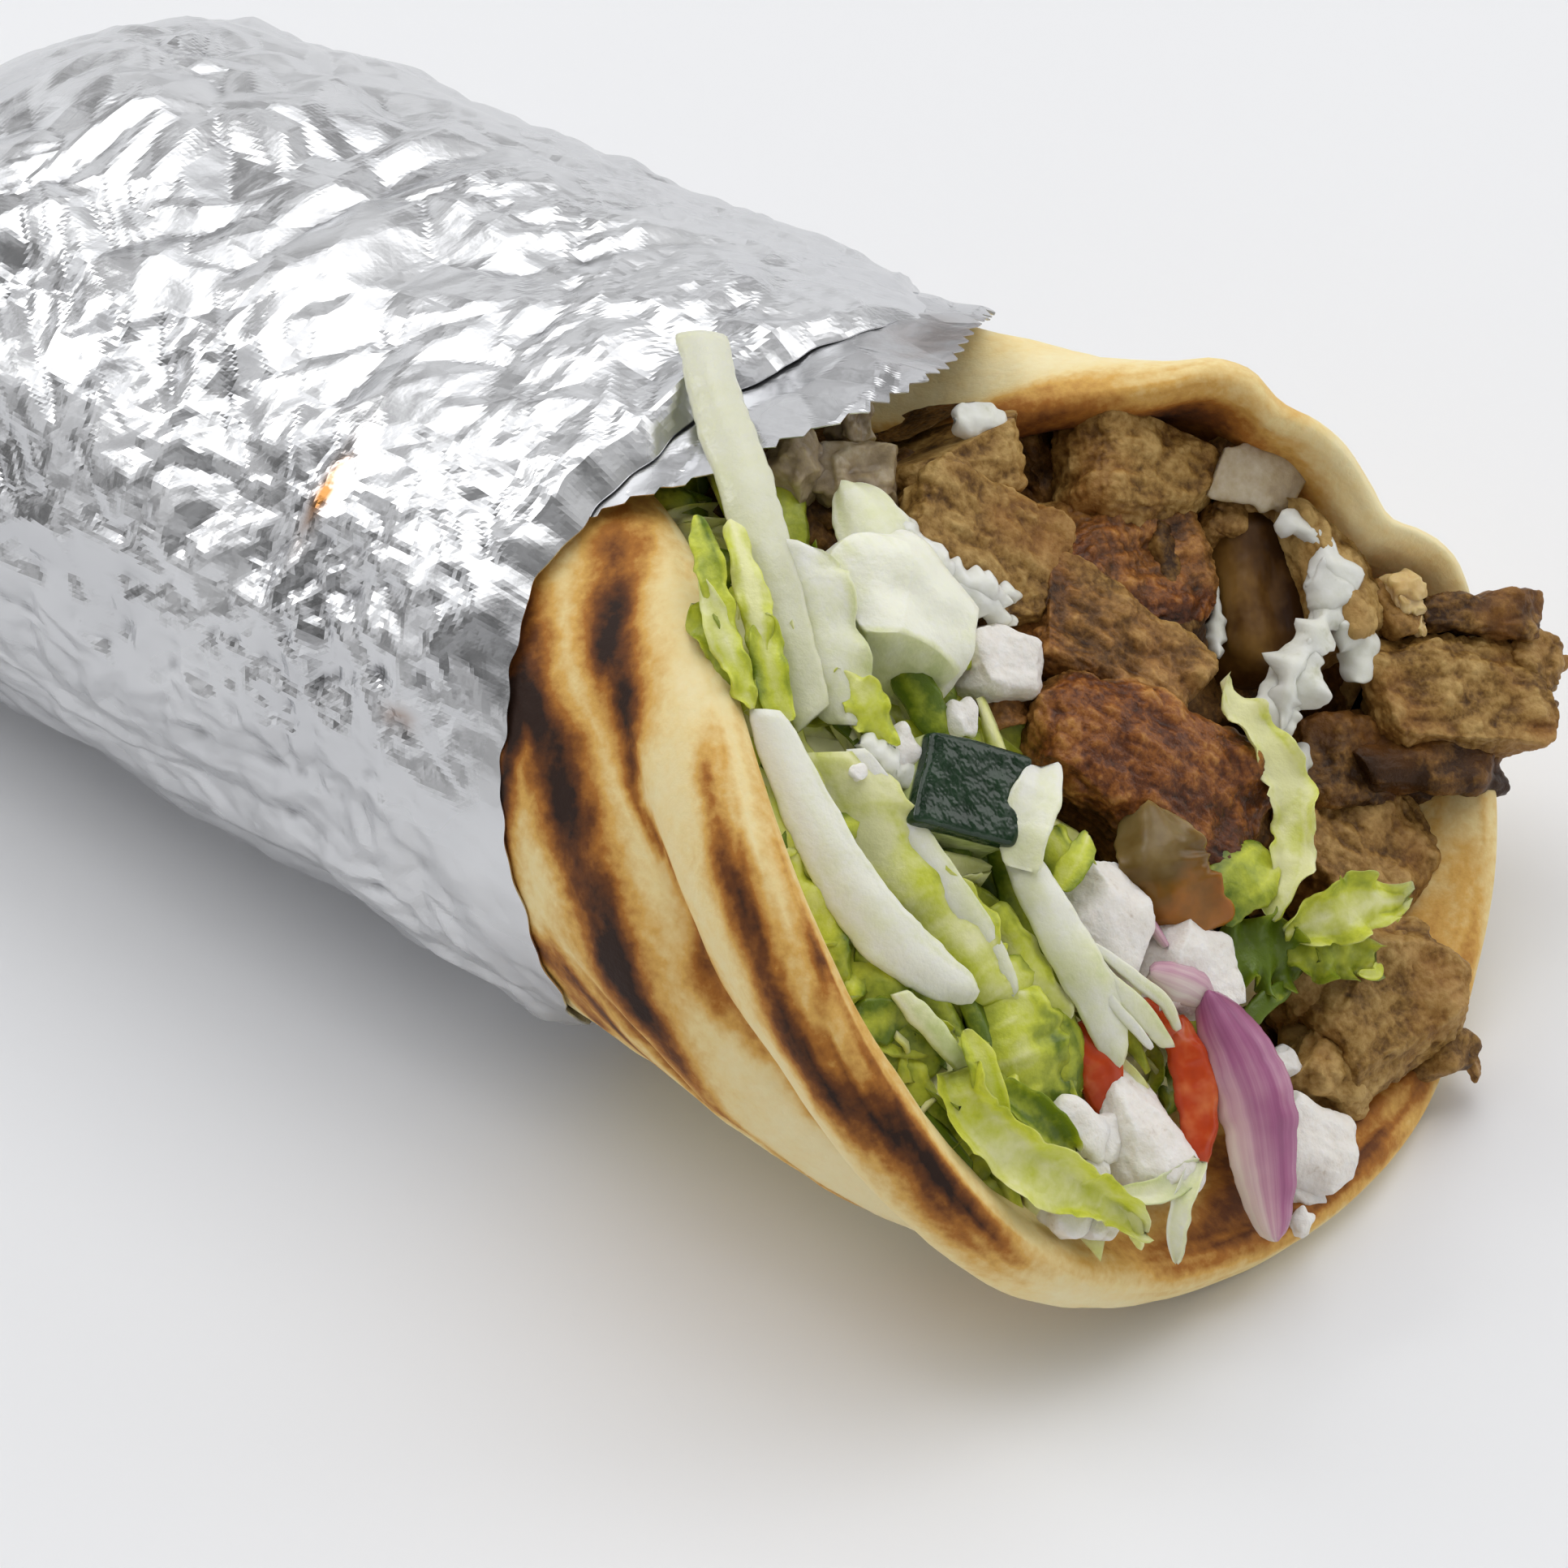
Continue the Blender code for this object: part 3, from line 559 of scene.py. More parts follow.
def dress(tree, shader, colour, height, strength, distance):
    """A colour, and a height turned into fine relief. distance is in millimetres."""
    bump = add(tree, "Bump", {"Height": height, "Strength": strength, "Distance": distance * MM})
    tree.links.new(colour, shader.inputs["Base Color"])
    tree.links.new(bump.outputs["Normal"], shader.inputs["Normal"])


def see_into(shader, weight, reach):
    """Flesh that light goes into, and how far its red, green and blue reach there, in millimetres."""
    shader.inputs["Subsurface Weight"].default_value = weight
    shader.inputs["Subsurface Radius"].default_value = [r * MM for r in reach]
    shader.inputs["Subsurface Scale"].default_value = 1.0


bread, tree, shader = finish("baked_bread", Roughness=0.62, IOR=1.4, Specular_IOR_Level=0.35)
toast_and_shade_level = kept(tree, "toast_and_painted_shade")
speckle, speckle_height = grain(tree, 900.0, 4.0, 0.34)
broad, broad_height = grain(tree, 170.0, 3.0, 0.34)
reach = remapped(tree, toast_and_shade_level, 0.0, 0.5, 0.35, 1.3)
mottled = total(tree, speckle, broad)
mottled = add(tree, "Math", {0: mottled, 1: reach}, operation="MULTIPLY").outputs["Value"]
colour = ramp(
    tree,
    total(tree, toast_and_shade_level, mottled),
    [
        (0.00, (0.90, 0.78, 0.46)),
        (0.10, (0.87, 0.69, 0.33)),
        (0.24, (0.73, 0.43, 0.11)),
        (0.42, (0.43, 0.165, 0.026)),
        (0.65, (0.16, 0.050, 0.010)),
        (0.90, (0.028, 0.012, 0.007)),
    ],
)
dress(tree, shader, colour, total(tree, speckle_height, broad_height), 0.5, 0.3)
see_into(shader, 0.12, (3.0, 1.8, 0.8))
piece("pita_bread", (places, faces, {"toast_and_painted_shade": toast_and_painted_shade}), bread, "bread", ["pita"])

# ---- filling: meat ----
# Pork grilled on a skewer and cut into bite-sized blocks, seared on some sides and torn along the fibres.
# Under the blocks that show, the pocket is packed with more of them over a dark, juicy core.

MOUTH_MIDDLE = np.array([146.0, 0.0, 32.0])
LEAN = np.radians(47)  # the mouth's plane leans this far back from upright
MOUTH = np.array([[0, 1, 0], [np.sin(LEAN), 0, -np.cos(LEAN)], [np.cos(LEAN), 0, np.sin(LEAN)]])
SALAD_TO_MEAT = -5.0  # the salad lies on the near side of this, the meat on the far side


def in_mouth(places):
    """Places on the mouth's leaning plane (across, down towards the lip, out) as (along, across, up)."""
    return MOUTH_MIDDLE + np.asarray(places, float) @ MOUTH


def kept_inside(places, inset=THICK + 0.8):
    """Places moved towards the roll's axis until they lie inside the bread.

    Each is divided by the section's measure, (|y/half|^n + |z/half height|^n)^(1/n), where that is over 1.
    inset is how far inside the bread's outer skin they stay. It grows where the bread sinks.
    """
    places = np.array(places, float)
    along, across, up = places[..., 0], places[..., 1], places[..., 2]
    high = through(STATIONS, HEIGHT, along) / 2
    middle = high + through(STATIONS, LIFT, along) - FLAT
    inset = inset + 1.7 * sunk(along, np.arctan2(across, middle - up))
    half = np.where(across < 0, through(STATIONS, NEAR, along), through(STATIONS, FAR, along)) - inset
    measure = np.abs(across / half) ** SQUARE + np.abs((up - middle) / (high - inset)) ** SQUARE
    squeeze = 1 / np.maximum(measure ** (1 / SQUARE), 1)
    places[..., 1] = across * squeeze
    places[..., 2] = middle + (up - middle) * squeeze
    return places


def heap(near, far, level, relief, seed):
    """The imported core: it fills the pocket between two upright planes, up to an uneven leaning surface.

    Each station has a ring: its floor follows the roll's section, and its roof is the section's or the plane
    that leans with the mouth, level below it, whichever is lower.
    """
    stations = np.linspace(20, 152, 90)[:, None]
    spread = 0.5 - 0.5 * np.cos(np.linspace(0, np.pi, 46))
    inset = THICK + 2.0
    high = through(STATIONS, HEIGHT, stations) / 2
    middle = high + through(STATIONS, LIFT, stations) - FLAT
    near_half, far_half = (through(STATIONS, half, stations) - inset for half in (NEAR, FAR))
    low, top = np.maximum(near, 0.3 - near_half), np.minimum(far, far_half - 0.3)
    across = low + (top - low) * spread
    half = np.where(across < 0, near_half, far_half)
    rise = (high - inset) * (1 - np.clip(np.abs(across) / half, 0, 1) ** SQUARE) ** (1 / SQUARE)
    along = stations + 0 * across
    bumps = relief * rough(np.stack([along, across, 0 * across], -1), 7, 3, seed)
    plane = MOUTH_MIDDLE[2] + (level + bumps - (along - MOUTH_MIDDLE[0]) * np.cos(LEAN)) / np.sin(LEAN)
    floor = middle - rise
    roof = np.maximum(np.minimum(middle + rise, plane), floor + 0.3)
    under = np.stack([along, across, floor], -1)
    over = np.stack([along, across, roof], -1)[:, ::-1]
    grid = np.concatenate([under, over], axis=1)
    return capped(grid)


def cube_skin(n):
    """A cube's skin from -1 to 1 as n x n quads a side, with the shared edges' points counted once."""
    step = np.linspace(-1, 1, n + 1)
    u, v = (s.ravel() for s in np.meshgrid(step, step, indexing="ij"))
    sides, faces = [], []
    for axis in range(3):
        for sign in (-1.0, 1.0):
            side = np.empty((len(u), 3))
            side[:, axis] = sign
            side[:, (axis + 1) % 3], side[:, (axis + 2) % 3] = u * sign, v
            faces.append(quads(n + 1, n + 1, len(sides) * len(u)))
            sides.append(side)
    places = np.concatenate(sides)
    unique, index = np.unique(np.round(places, 6), axis=0, return_inverse=True)
    return unique, index.ravel()[np.concatenate(faces)]


def grains(places, size, seed):
    """Packed grains: 1 - the distance to the nearest of scattered points, so 0 between the grains."""
    scaled = np.asarray(places, float) / size
    low = np.floor(scaled).astype(int)
    nearest = np.full(scaled.shape[:-1], 9.0)
    for step in np.ndindex(3, 3, 3):
        cell = low + np.array(step) - 1
        spot = cell + np.stack([cell_number(cell, seed + k) for k in range(3)], -1)
        nearest = np.minimum(nearest, np.linalg.norm(scaled - spot, axis=-1))
    return 1 - np.clip(nearest, 0, 1)


def turned(places, turn, pitch):
    """Places turned from across towards down, and with the end of their length raised, in degrees."""
    a, b = np.radians(turn), -np.radians(pitch)
    level = np.array([[np.cos(a), -np.sin(a), 0], [np.sin(a), np.cos(a), 0], [0, 0, 1]])
    upright = np.array([[np.cos(b), 0, np.sin(b)], [0, 1, 0], [-np.sin(b), 0, np.cos(b)]])
    return places @ (level @ upright).T


def block(
    place, size, turn, pitch=0.0, n=34, boxiness=5.0, lumpy=0.10, relief=(0.6, 0.62, 0.2), seed=1, cuts=(),
    knife=4,
):
    """A bite-sized block: |x|^b + |y|^b + |z|^b = 1, swollen by slow bumps, cut flat, then made uneven.

    place and size are in the mouth's millimetres. relief is the height of its slow folds, of its crumbly
    swellings with creases between them (|bumps| of three sizes) and of its packed grains. Each of cuts is a
    direction and the share of the reach that is left that way. knife is how many more cuts fall at random.
    Returned are its places, faces, outward ways, a painted shade that follows the skin's height, darker in
    its creases and between its grains, and the unit form.
    """
    cube, faces = cube_skin(n)
    form = cube / ((np.abs(cube) ** boxiness).sum(axis=1) ** (1 / boxiness))[:, None]
    half = np.array(size) / 2
    form = form * (1 + lumpy * 1.8 * lumps(form * 1.3 + seed * 3.7, 1.0, seed))[:, None]
    strokes = np.random.default_rng(seed)
    chances = [(strokes.normal(size=3), strokes.uniform(0.72, 0.92)) for _ in range(knife)]
    for way, left in [*cuts, *chances]:
        way = np.array(way, float) / np.linalg.norm(way)
        reach = form @ way
        form = form - np.maximum(reach - left * reach.max(), 0)[:, None] * way
    normal = np.sign(form) * np.abs(form) ** (boxiness - 1) / half
    normal /= np.linalg.norm(normal, axis=1, keepdims=True) + 1e-9
    body = form * half
    spot = body + np.array([31.0, 17.0, 5.0]) * seed
    folds, crumbs, pebbles = relief
    slow = rough(spot, 5.0, 2, seed + 3)
    swollen = [np.abs(lumps(spot * [0.7, 1, 1], 2.3 / 2**k, seed + 21 + k)) - 0.35 for k in range(3)]
    crumbly = swollen[0] + 0.6 * swollen[1] + 0.36 * swollen[2]
    fine = grains(spot, 1.0, seed + 5) + 0.6 * grains(spot, 0.55, seed + 9) - 0.75
    skin = folds * slow + crumbs * crumbly + pebbles * fine
    body = body + normal * skin[:, None]
    # Painted shade: the colour follows the relief, darker in the creases and between the grains.
    shade = 0.25 * folds * slow + 1.1 * crumbs * crumbly + 1.2 * pebbles * fine
    return np.array(place) + turned(body, turn, pitch), faces, turned(normal, turn, pitch), shade, form


grilled, tree, shader = finish("grilled_meat", IOR=1.42, Specular_IOR_Level=0.3)
coarse, coarse_height = grain(tree, 330.0, 5.0, 0.8)
crumb, crumb_height = grain(tree, 1500.0, 3.0, 0.6)
broad = grain(tree, 90.0, 2.0, 2.2)[0]
# The kept relief is painted shade: darker in the creases and on the sides that face into the pocket, and
# painted lighter on the block by the wall.
value = total(tree, 0.5, coarse, crumb, kept(tree, "relief"))
cut = ramp(
    tree,
    value,
    [
        (0.14, (0.042, 0.017, 0.004)),
        (0.33, (0.160, 0.078, 0.016)),
        (0.50, (0.320, 0.180, 0.046)),
        (0.76, (0.520, 0.340, 0.120)),
    ],
)
rosy = mixed(tree, broad, cut, (0.33, 0.130, 0.028, 1), clamp_factor=True)
crust = ramp(
    tree,
    value,
    [
        (0.20, (0.030, 0.011, 0.005)),
        (0.42, (0.120, 0.036, 0.010)),
        (0.58, (0.270, 0.092, 0.020)),
        (0.80, (0.500, 0.230, 0.060)),
    ],
)
amount = total(tree, kept(tree, "sear"), coarse)
tree.links.new(remapped(tree, amount, 0.0, 1.0, 0.50, 0.30), shader.inputs["Roughness"])
dress(tree, shader, mixed(tree, amount, rosy, crust), total(tree, coarse_height, crumb_height), 0.55, 0.35)

MEAT = [
    # name, place, size, turn, pitch, sear, way the seared side faces, cuts
    ("meat_over_rim", (37.4, 14.7, 0.9), (19, 12, 10), 41, 10, 0.12, (0.2, 0.9, -0.4),
     [((0, 0, 1), 0.74), ((0, 1, 0.3), 0.9)]),
    ("meat_middle", (3.6, -1, -3.5), (26, 14, 14), 66, 0, 0.95, (-0.3, 0, 1), []),
    ("meat_middle_small", (10.6, -11, -4.5), (20, 11, 11), 70, 0, 0.55, (-0.8, -0.5, 0.3), []),
    ("meat_upper_left", (6, -26.6, -7), (17, 15, 14), 60, 0, 0.02, (1, 0.2, 0.2), [((0, 0, 1), 0.8)]),
    ("meat_upper_left_back", (12.6, -33.6, -9.5), (14, 12, 13), 30, 0, 0.02, (1, 0, 0), []),
    ("meat_seared", (20.6, -15.5, -8.5), (17, 14, 14), 30, 0, 1.0, (-0.7, 0.6, 0.3), []),
    ("meat_upper_right", (28.4, -21.0, -6.2), (15, 13, 13), 46, 0, 0.0, (1, 0, 0), []),
    ("meat_by_wall", (36.8, -1.6, -2.2), (15.5, 10.6, 12), 118, 0, 0.0, (0, 1, 0), []),
    ("meat_behind_leaf", (22.5, 19, -9.0), (15, 15, 13), 100, 0, 0.35, (-0.3, -0.9, 0), []),
    ("meat_lower", (9.8, 30.2, -2.2), (16.5, 15.0, 12), 14, 8, 0.02, (-1, -0.6, 0),
     [((0, 0, 1), 0.78), ((1, 0.8, 0.4), 0.8)]),
]
# Painted light: the block by the wall lies in the rim's shade and is painted paler.
PAINTED_LIGHT = {"meat_by_wall": 0.16}  # how much paler the whole piece is
AGAINST_THE_BREAD = ("meat_by_wall", "meat_upper_left_back", "meat_upper_right", "meat_behind_leaf")
for number, (name, place, size, turn_by, pitch, strength, way, cuts) in enumerate(MEAT):
    placed, faces, facing, skin, form = block(place, size, turn_by, pitch, seed=number + 2, cuts=cuts, n=58)
    way = np.array(way) / np.linalg.norm(way)
    seared = strength * np.clip(facing @ way + 0.35, 0, 1) * 1.2 - 0.08 + 0.1 * (strength > 0.3)
    # Painted shade: darker in the creases, and on the sides that face into the pocket.
    shade = skin - 0.30 * np.clip(-facing[:, 2] + 0.1, 0, 1)
    values = {"sear": seared, "relief": 0.42 * shade + PAINTED_LIGHT.get(name, 0)}
    placed = in_mouth(placed)
    if name in AGAINST_THE_BREAD:
        placed = kept_inside(placed, 5.5)
    piece(name + "_block", (placed, [faces], values), grilled, "grilled_meat", [name])


def joined(parts):
    """Several meshes, each places, faces and values, as one."""
    places, faces, values, start = [], [], {}, 0
    for part_places, part_faces, part_values in parts:
        faces += [np.asarray(block_faces) + start for block_faces in part_faces]
        places.append(np.asarray(part_places).reshape(-1, 3))
        start += len(places[-1])
        for key, numbers in part_values.items():
            values.setdefault(key, []).append(np.asarray(numbers).ravel())
    merged = {}
    for block_faces in faces:
        merged.setdefault(block_faces.shape[1], []).append(block_faces)
    faces = [np.concatenate(blocks) for blocks in merged.values()]
    return np.concatenate(places), faces, {key: np.concatenate(numbers) for key, numbers in values.items()}


# Smaller bits of the same meat: a step on the big block, ends in the gaps, torn tips and loose crumbs.
MEAT_BITS = [
    # place, size, turn, pitch, sear, tone
    ((43.0, 10.2, 3.2), (13.0, 4.6, 6), 41, 8, 0.12, -0.2),
    ((31.6, 17.6, -1.8), (18, 7.5, 8), 38, 10, 0.20, -0.34),
    ((45.6, 17.6, 2.6), (5.5, 6.0, 6.0), 60, 10, 0.10, 0.0),
    ((47.2, 19.4, 4.2), (3.4, 1.7, 1.5), 14, 15, 0.20, 0.05),
    ((43.4, 21.0, 3.0), (3.6, 2.2, 2.0), 60, 10, 0.20, -0.1),
    ((12.6, 38.2, -1.0), (7.0, 4.0, 5.0), 30, 0, 0.10, -0.10),
    ((13.8, 40.6, -0.4), (3.4, 1.5, 1.4), 84, -20, 0.30, 0.0),
    ((1.6, 31.4, -2.8), (9.0, 8.0, 8.0), 70, 0, 0.0, 0.14),
    ((6.4, 25.0, -2.6), (9.0, 6.0, 7.0), 20, 0, 0.0, 0.08),
    ((27.0, -25.6, -13.0), (11, 9, 8), 20, 0, 0.30, -0.15),
    ((22.4, -28.8, -13.0), (9, 8, 8), 70, 0, 0.30, -0.20),
    ((0.0, -41.0, -12.5), (11, 9, 9), 60, 0, 0.35, -0.20),
    ((5.5, -37.4, -11.0), (9, 8, 8), 20, 0, 0.05, -0.05),
    ((23.0, -10.4, -8.0), (14, 6.5, 11), 125, 0, 0.10, -0.30),
    ((31.2, -11.4, -4.2), (5.0, 4.5, 5), 60, 0, 0.25, 0.05),
    ((36.4, -9.5, -4.0), (8, 5, 7), 60, 0, 0.15, -0.05),
    ((36.4, -14.8, -3.6), (7, 5, 6), 50, 0, 0.05, -0.1),
    ((17.0, 10.5, -9.0), (12, 9, 9), 30, 0, 0.30, -0.15),
    ((27.0, 24.0, -10.0), (10, 9, 9), 70, 0, 0.10, 0.0),
    ((37.2, 4.6, 1.6), (6.0, 4.4, 4.0), 100, 20, 0.20, 0.0),
    ((-2.2, -13.8, -3.0), (6.0, 4.0, 4.0), 30, 0, 0.60, 0.0),
    ((25.0, 12.6, -4.6), (11, 9, 8), 40, 0, 0.20, -0.25),
]
parts = []
for k, (place, size, turn_by, pitch, strength, tone) in enumerate(MEAT_BITS):
    n, relief = (30, (0.4, 0.6, 0.2)) if min(size) > 4 else (14, (0.3, 0.4, 0.1))
    choices = dict(n=n, lumpy=0.14, relief=relief, seed=300 + k)
    placed, faces, facing, skin, form = block(place, size, turn_by, pitch, **choices)
    parts.append((in_mouth(placed), [faces], {"sear": strength + 0 * skin, "relief": 0.42 * skin + tone}))
piece("meat_bits", joined(parts), grilled, "grilled_meat")


def food(name, start, grains, stops, relief, flesh=None, **plain):
    """A food's finish: colours over start and its grains, their heights as relief, and how light goes in.

    start is a number, or the name of one that the mesh keeps. Each grain is its scale, detail and spread.
    """
    made, tree, shader = finish(name, IOR=1.4, **plain)
    values, heights = zip(*(grain(tree, *each) for each in grains))
    start = kept(tree, start) if isinstance(start, str) else start
    dress(tree, shader, ramp(tree, total(tree, start, *values), stops), total(tree, *heights), *relief)
    if flesh:
        see_into(shader, *flesh)
    return made


browns = [(0.1, (0.036, 0.013, 0.003)), (0.5, (0.105, 0.046, 0.009)), (0.9, (0.240, 0.125, 0.030))]
plain = dict(Roughness=0.4, Specular_IOR_Level=0.3)
slab = food("dark_slice", "relief", [(230.0, 3.0, 1.4)], browns, (0.4, 0.3), **plain)
placed, faces, facing, skin, form = block(
    (30.4, -5.0, -7.6), (17, 8, 13), 128,
    n=40, lumpy=0.05, relief=(0.30, 0.15, 0.03), seed=31, knife=0,
)
values = {"relief": 0.26 + 0.5 * form[:, 1] + 0.10 * form[:, 0]}
form = in_mouth(placed), [faces], values
piece("meat_dark_slice_smooth", form, slab, "grilled_meat", ["meat_dark_slice"])

chance = np.random.default_rng(7)
parts = []
for k in range(34):
    a, d = chance.uniform(-1, 38), chance.uniform(-48, 34)
    size = chance.uniform(7, 12, 3)
    placed, faces, facing, skin, form = block(
        (a, d, chance.uniform(-15, -12)), size, chance.uniform(0, 180), n=16, seed=50 + k, lumpy=0.14
    )
    inner = kept_inside(in_mouth(placed), 0.7 * THICK)
    parts.append((inner, [faces], {"sear": 0.30 + 0 * skin, "relief": 0.35 * skin - 0.15}))
places, faces = heap(SALAD_TO_MEAT - 1, 90.0, -15.0, 3.0, 3)
parts.append((places, faces, {"sear": np.full(len(places), 0.4), "relief": np.full(len(places), -0.2)}))
piece("meat_packed", joined(parts), grilled, "grilled_meat", ["meat_bed"])

# ---- filling: salad ----
# Shredded lettuce and white cabbage, cut into ribbons that lie along the flap in every direction, with a few
# broad pieces on top: pale ribs that fade into yellow-green leaf, crisp and a little see-through.


def ribbon(
    path, width, thick, rows=26, ring=16, ends=(0.6, 0.6), square=0.6, cup=0.0, ruffle=(0.0, 5.0), twist=0.0,
    slant=(0.0, 0.0), ragged=0.08, veins=0.0, bumps=0.0, pleat=0.0, seed=1,
):
    """A closed strip along a smooth path through places in the mouth.

    Round each row goes (cos, sin) of an angle, each raised to square, which makes a flat strip with rounded
    edges. Across it, s from -1 to 1: the height gains cup s^2, pleat cos(5 s) and ruffle |s|^3 sin(waves).
    twist turns it, in degrees from end to end. ends are the shares of the width and thickness at its two
    ends, and slant cuts them askew. veins lifts a midrib and its branches, and bumps roughens it.
    """
    knots = np.linspace(0, 1, len(path))
    path = in_mouth(path)
    u = np.linspace(0, 1, rows)
    line = np.stack([through(knots, path[:, k], u) for k in range(3)], -1)
    tangent = np.gradient(line, axis=0)
    tangent /= np.linalg.norm(tangent, axis=1, keepdims=True)
    facing = np.array([-0.5, -0.2, 0.85]) @ MOUTH  # the way its broad side looks
    side = np.cross(facing, tangent)
    side /= np.linalg.norm(side, axis=1, keepdims=True)
    up = np.cross(tangent, side)
    lean = np.radians(twist) * (u - 0.5)[:, None]
    side, up = side * np.cos(lean) + up * np.sin(lean), up * np.cos(lean) - side * np.sin(lean)
    swell = np.sin(np.pi * u) ** 0.5
    end = np.where(u < 0.5, ends[0], ends[1])
    share = end + (1 - end) * swell
    turn = np.linspace(0, 2 * np.pi, ring, endpoint=False)
    s = np.sign(np.cos(turn)) * np.abs(np.cos(turn)) ** square
    t = np.sign(np.sin(turn)) * np.abs(np.sin(turn)) ** square
    u2, s2 = np.meshgrid(u, s, indexing="ij")
    length = np.linalg.norm(np.diff(line, axis=0), axis=1).sum()
    flat = np.stack([u2 * length, 40 * np.sign(s2), 0 * u2], -1)
    edge = 1 + ragged * 2 * rough(flat + 13.0 * seed, 2.6, 3, seed, 0.7)
    slab = np.stack([u2 * length, s2 * width / 2, 0 * u2], -1) + 7.0 * seed
    sway = 1.5 * lumps(slab, 6, seed + 2)
    waves = ruffle[0] * np.abs(s2) ** 3 * np.sin(ruffle[1] * 2 * np.pi * u2 + seed + 1.2 * np.sign(s2) + sway)
    branch = np.abs(np.mod(u2 * length / 3.2 - 0.9 * np.abs(s2), 1) - 0.5) * 2
    streaks = rough(np.stack([u2 * length / 6, s2 * width / 1.1, 0 * u2], -1) + 5.0 * seed, 1.0, 2, seed + 7)
    rib = np.maximum(bell(s2, 0, 0.16), 0.6 * bell(branch, 0, 0.2) * (1 - s2**2))
    lift = cup * s2**2 + pleat * np.cos(5 * s2 + sway) + waves + veins * rib + bumps * rough(slab, 4, 3, seed)
    lift = lift + thick / 2 * (0.45 + 0.55 * share[:, None]) * t
    cut = slant[0] * climb(u2, 0.25, -0.25) + slant[1] * climb(u2, 0.75, 0.25)
    spread = width / 2 * share[:, None] * s2 * edge
    grid = line[:, None] + side[:, None] * spread[..., None] + up[:, None] * lift[..., None]
    grid = grid + tangent[:, None] * (cut * spread)[..., None]
    values = {
        "length": np.append(u2.ravel(), [0, 1]),
        "breadth": np.append(s2.ravel(), [0, 0]),
        "tint": np.append((0.2 * streaks - rib * min(3 * veins, 0.3)).ravel(), [0, 0]),
    }
    return *capped(grid), values


def leafy(name, pale, mid, deep, shine=0.33):
    """A leaf's finish: from pale rib to deep green by the tint, cloudy, with thin see-through flesh."""
    grains = [(210.0, 4.0, 1.1), (1200.0, 3.0, 0.3)]
    stops = [(0.05, pale), (0.5, mid), (0.95, deep)]
    return food(name, "tint", grains, stops, (0.4, 0.3), (0.3, (2.2, 2.4, 0.7)), Roughness=shine)


lettuce = leafy("lettuce_leaf", (0.88, 0.88, 0.44), (0.62, 0.67, 0.065), (0.115, 0.175, 0.010))
cabbage = leafy("white_cabbage", (0.90, 0.90, 0.76), (0.78, 0.80, 0.50), (0.50, 0.58, 0.20))

places, faces = heap(-90.0, SALAD_TO_MEAT + 1, -9.0, 3.0, 12)
zeros = np.zeros(len(places))
parts = [(places, faces, {"length": zeros, "breadth": zeros, "tint": zeros + 1.1})]
for k in range(300):
    a, d = chance.uniform(-41, -5), chance.uniform(-54, 22)
    depth = chance.uniform(-6.0, 0.2) - 2.0 * (d > 12) - 5.0 * (a > -16 and d < -26)
    heading = chance.normal(1.45, 0.6)
    long = chance.uniform(7, 18)
    step = np.array([np.cos(heading), np.sin(heading), chance.normal(0, 0.16)]) * long / 2
    bow = np.array([-np.sin(heading), np.cos(heading), 0.2]) * chance.normal(0, 2.0)
    middle = kept_inside(in_mouth([a, d, depth]), THICK + 1.6)
    middle = (middle - MOUTH_MIDDLE) @ MOUTH.T
    shred, faces, values = ribbon(
        [middle - step, middle + bow, middle + step],
        chance.uniform(1.4, 4.6),
        chance.uniform(0.5, 1.0),
        rows=14,
        ring=8,
        ends=chance.uniform(0.1, 0.8, 2),
        slant=chance.uniform(-1, 1, 2),
        cup=chance.normal(0, 0.7),
        ruffle=(abs(chance.normal(0, 0.45)), 3),
        twist=chance.normal(0, 60),
        seed=int(200 + k),
    )
    pale = chance.uniform() < 0.35
    tint = chance.uniform(-0.1, 0.15) if pale else chance.uniform(0.3, 0.95)
    values["tint"] = np.clip(tint + 0.25 * np.abs(values["breadth"]), 0, 1.1)
    parts.append((kept_inside(shred, 0.5 * THICK), faces, values))
piece("salad_packed", joined(parts), lettuce, "lettuce", ["salad_bed"])

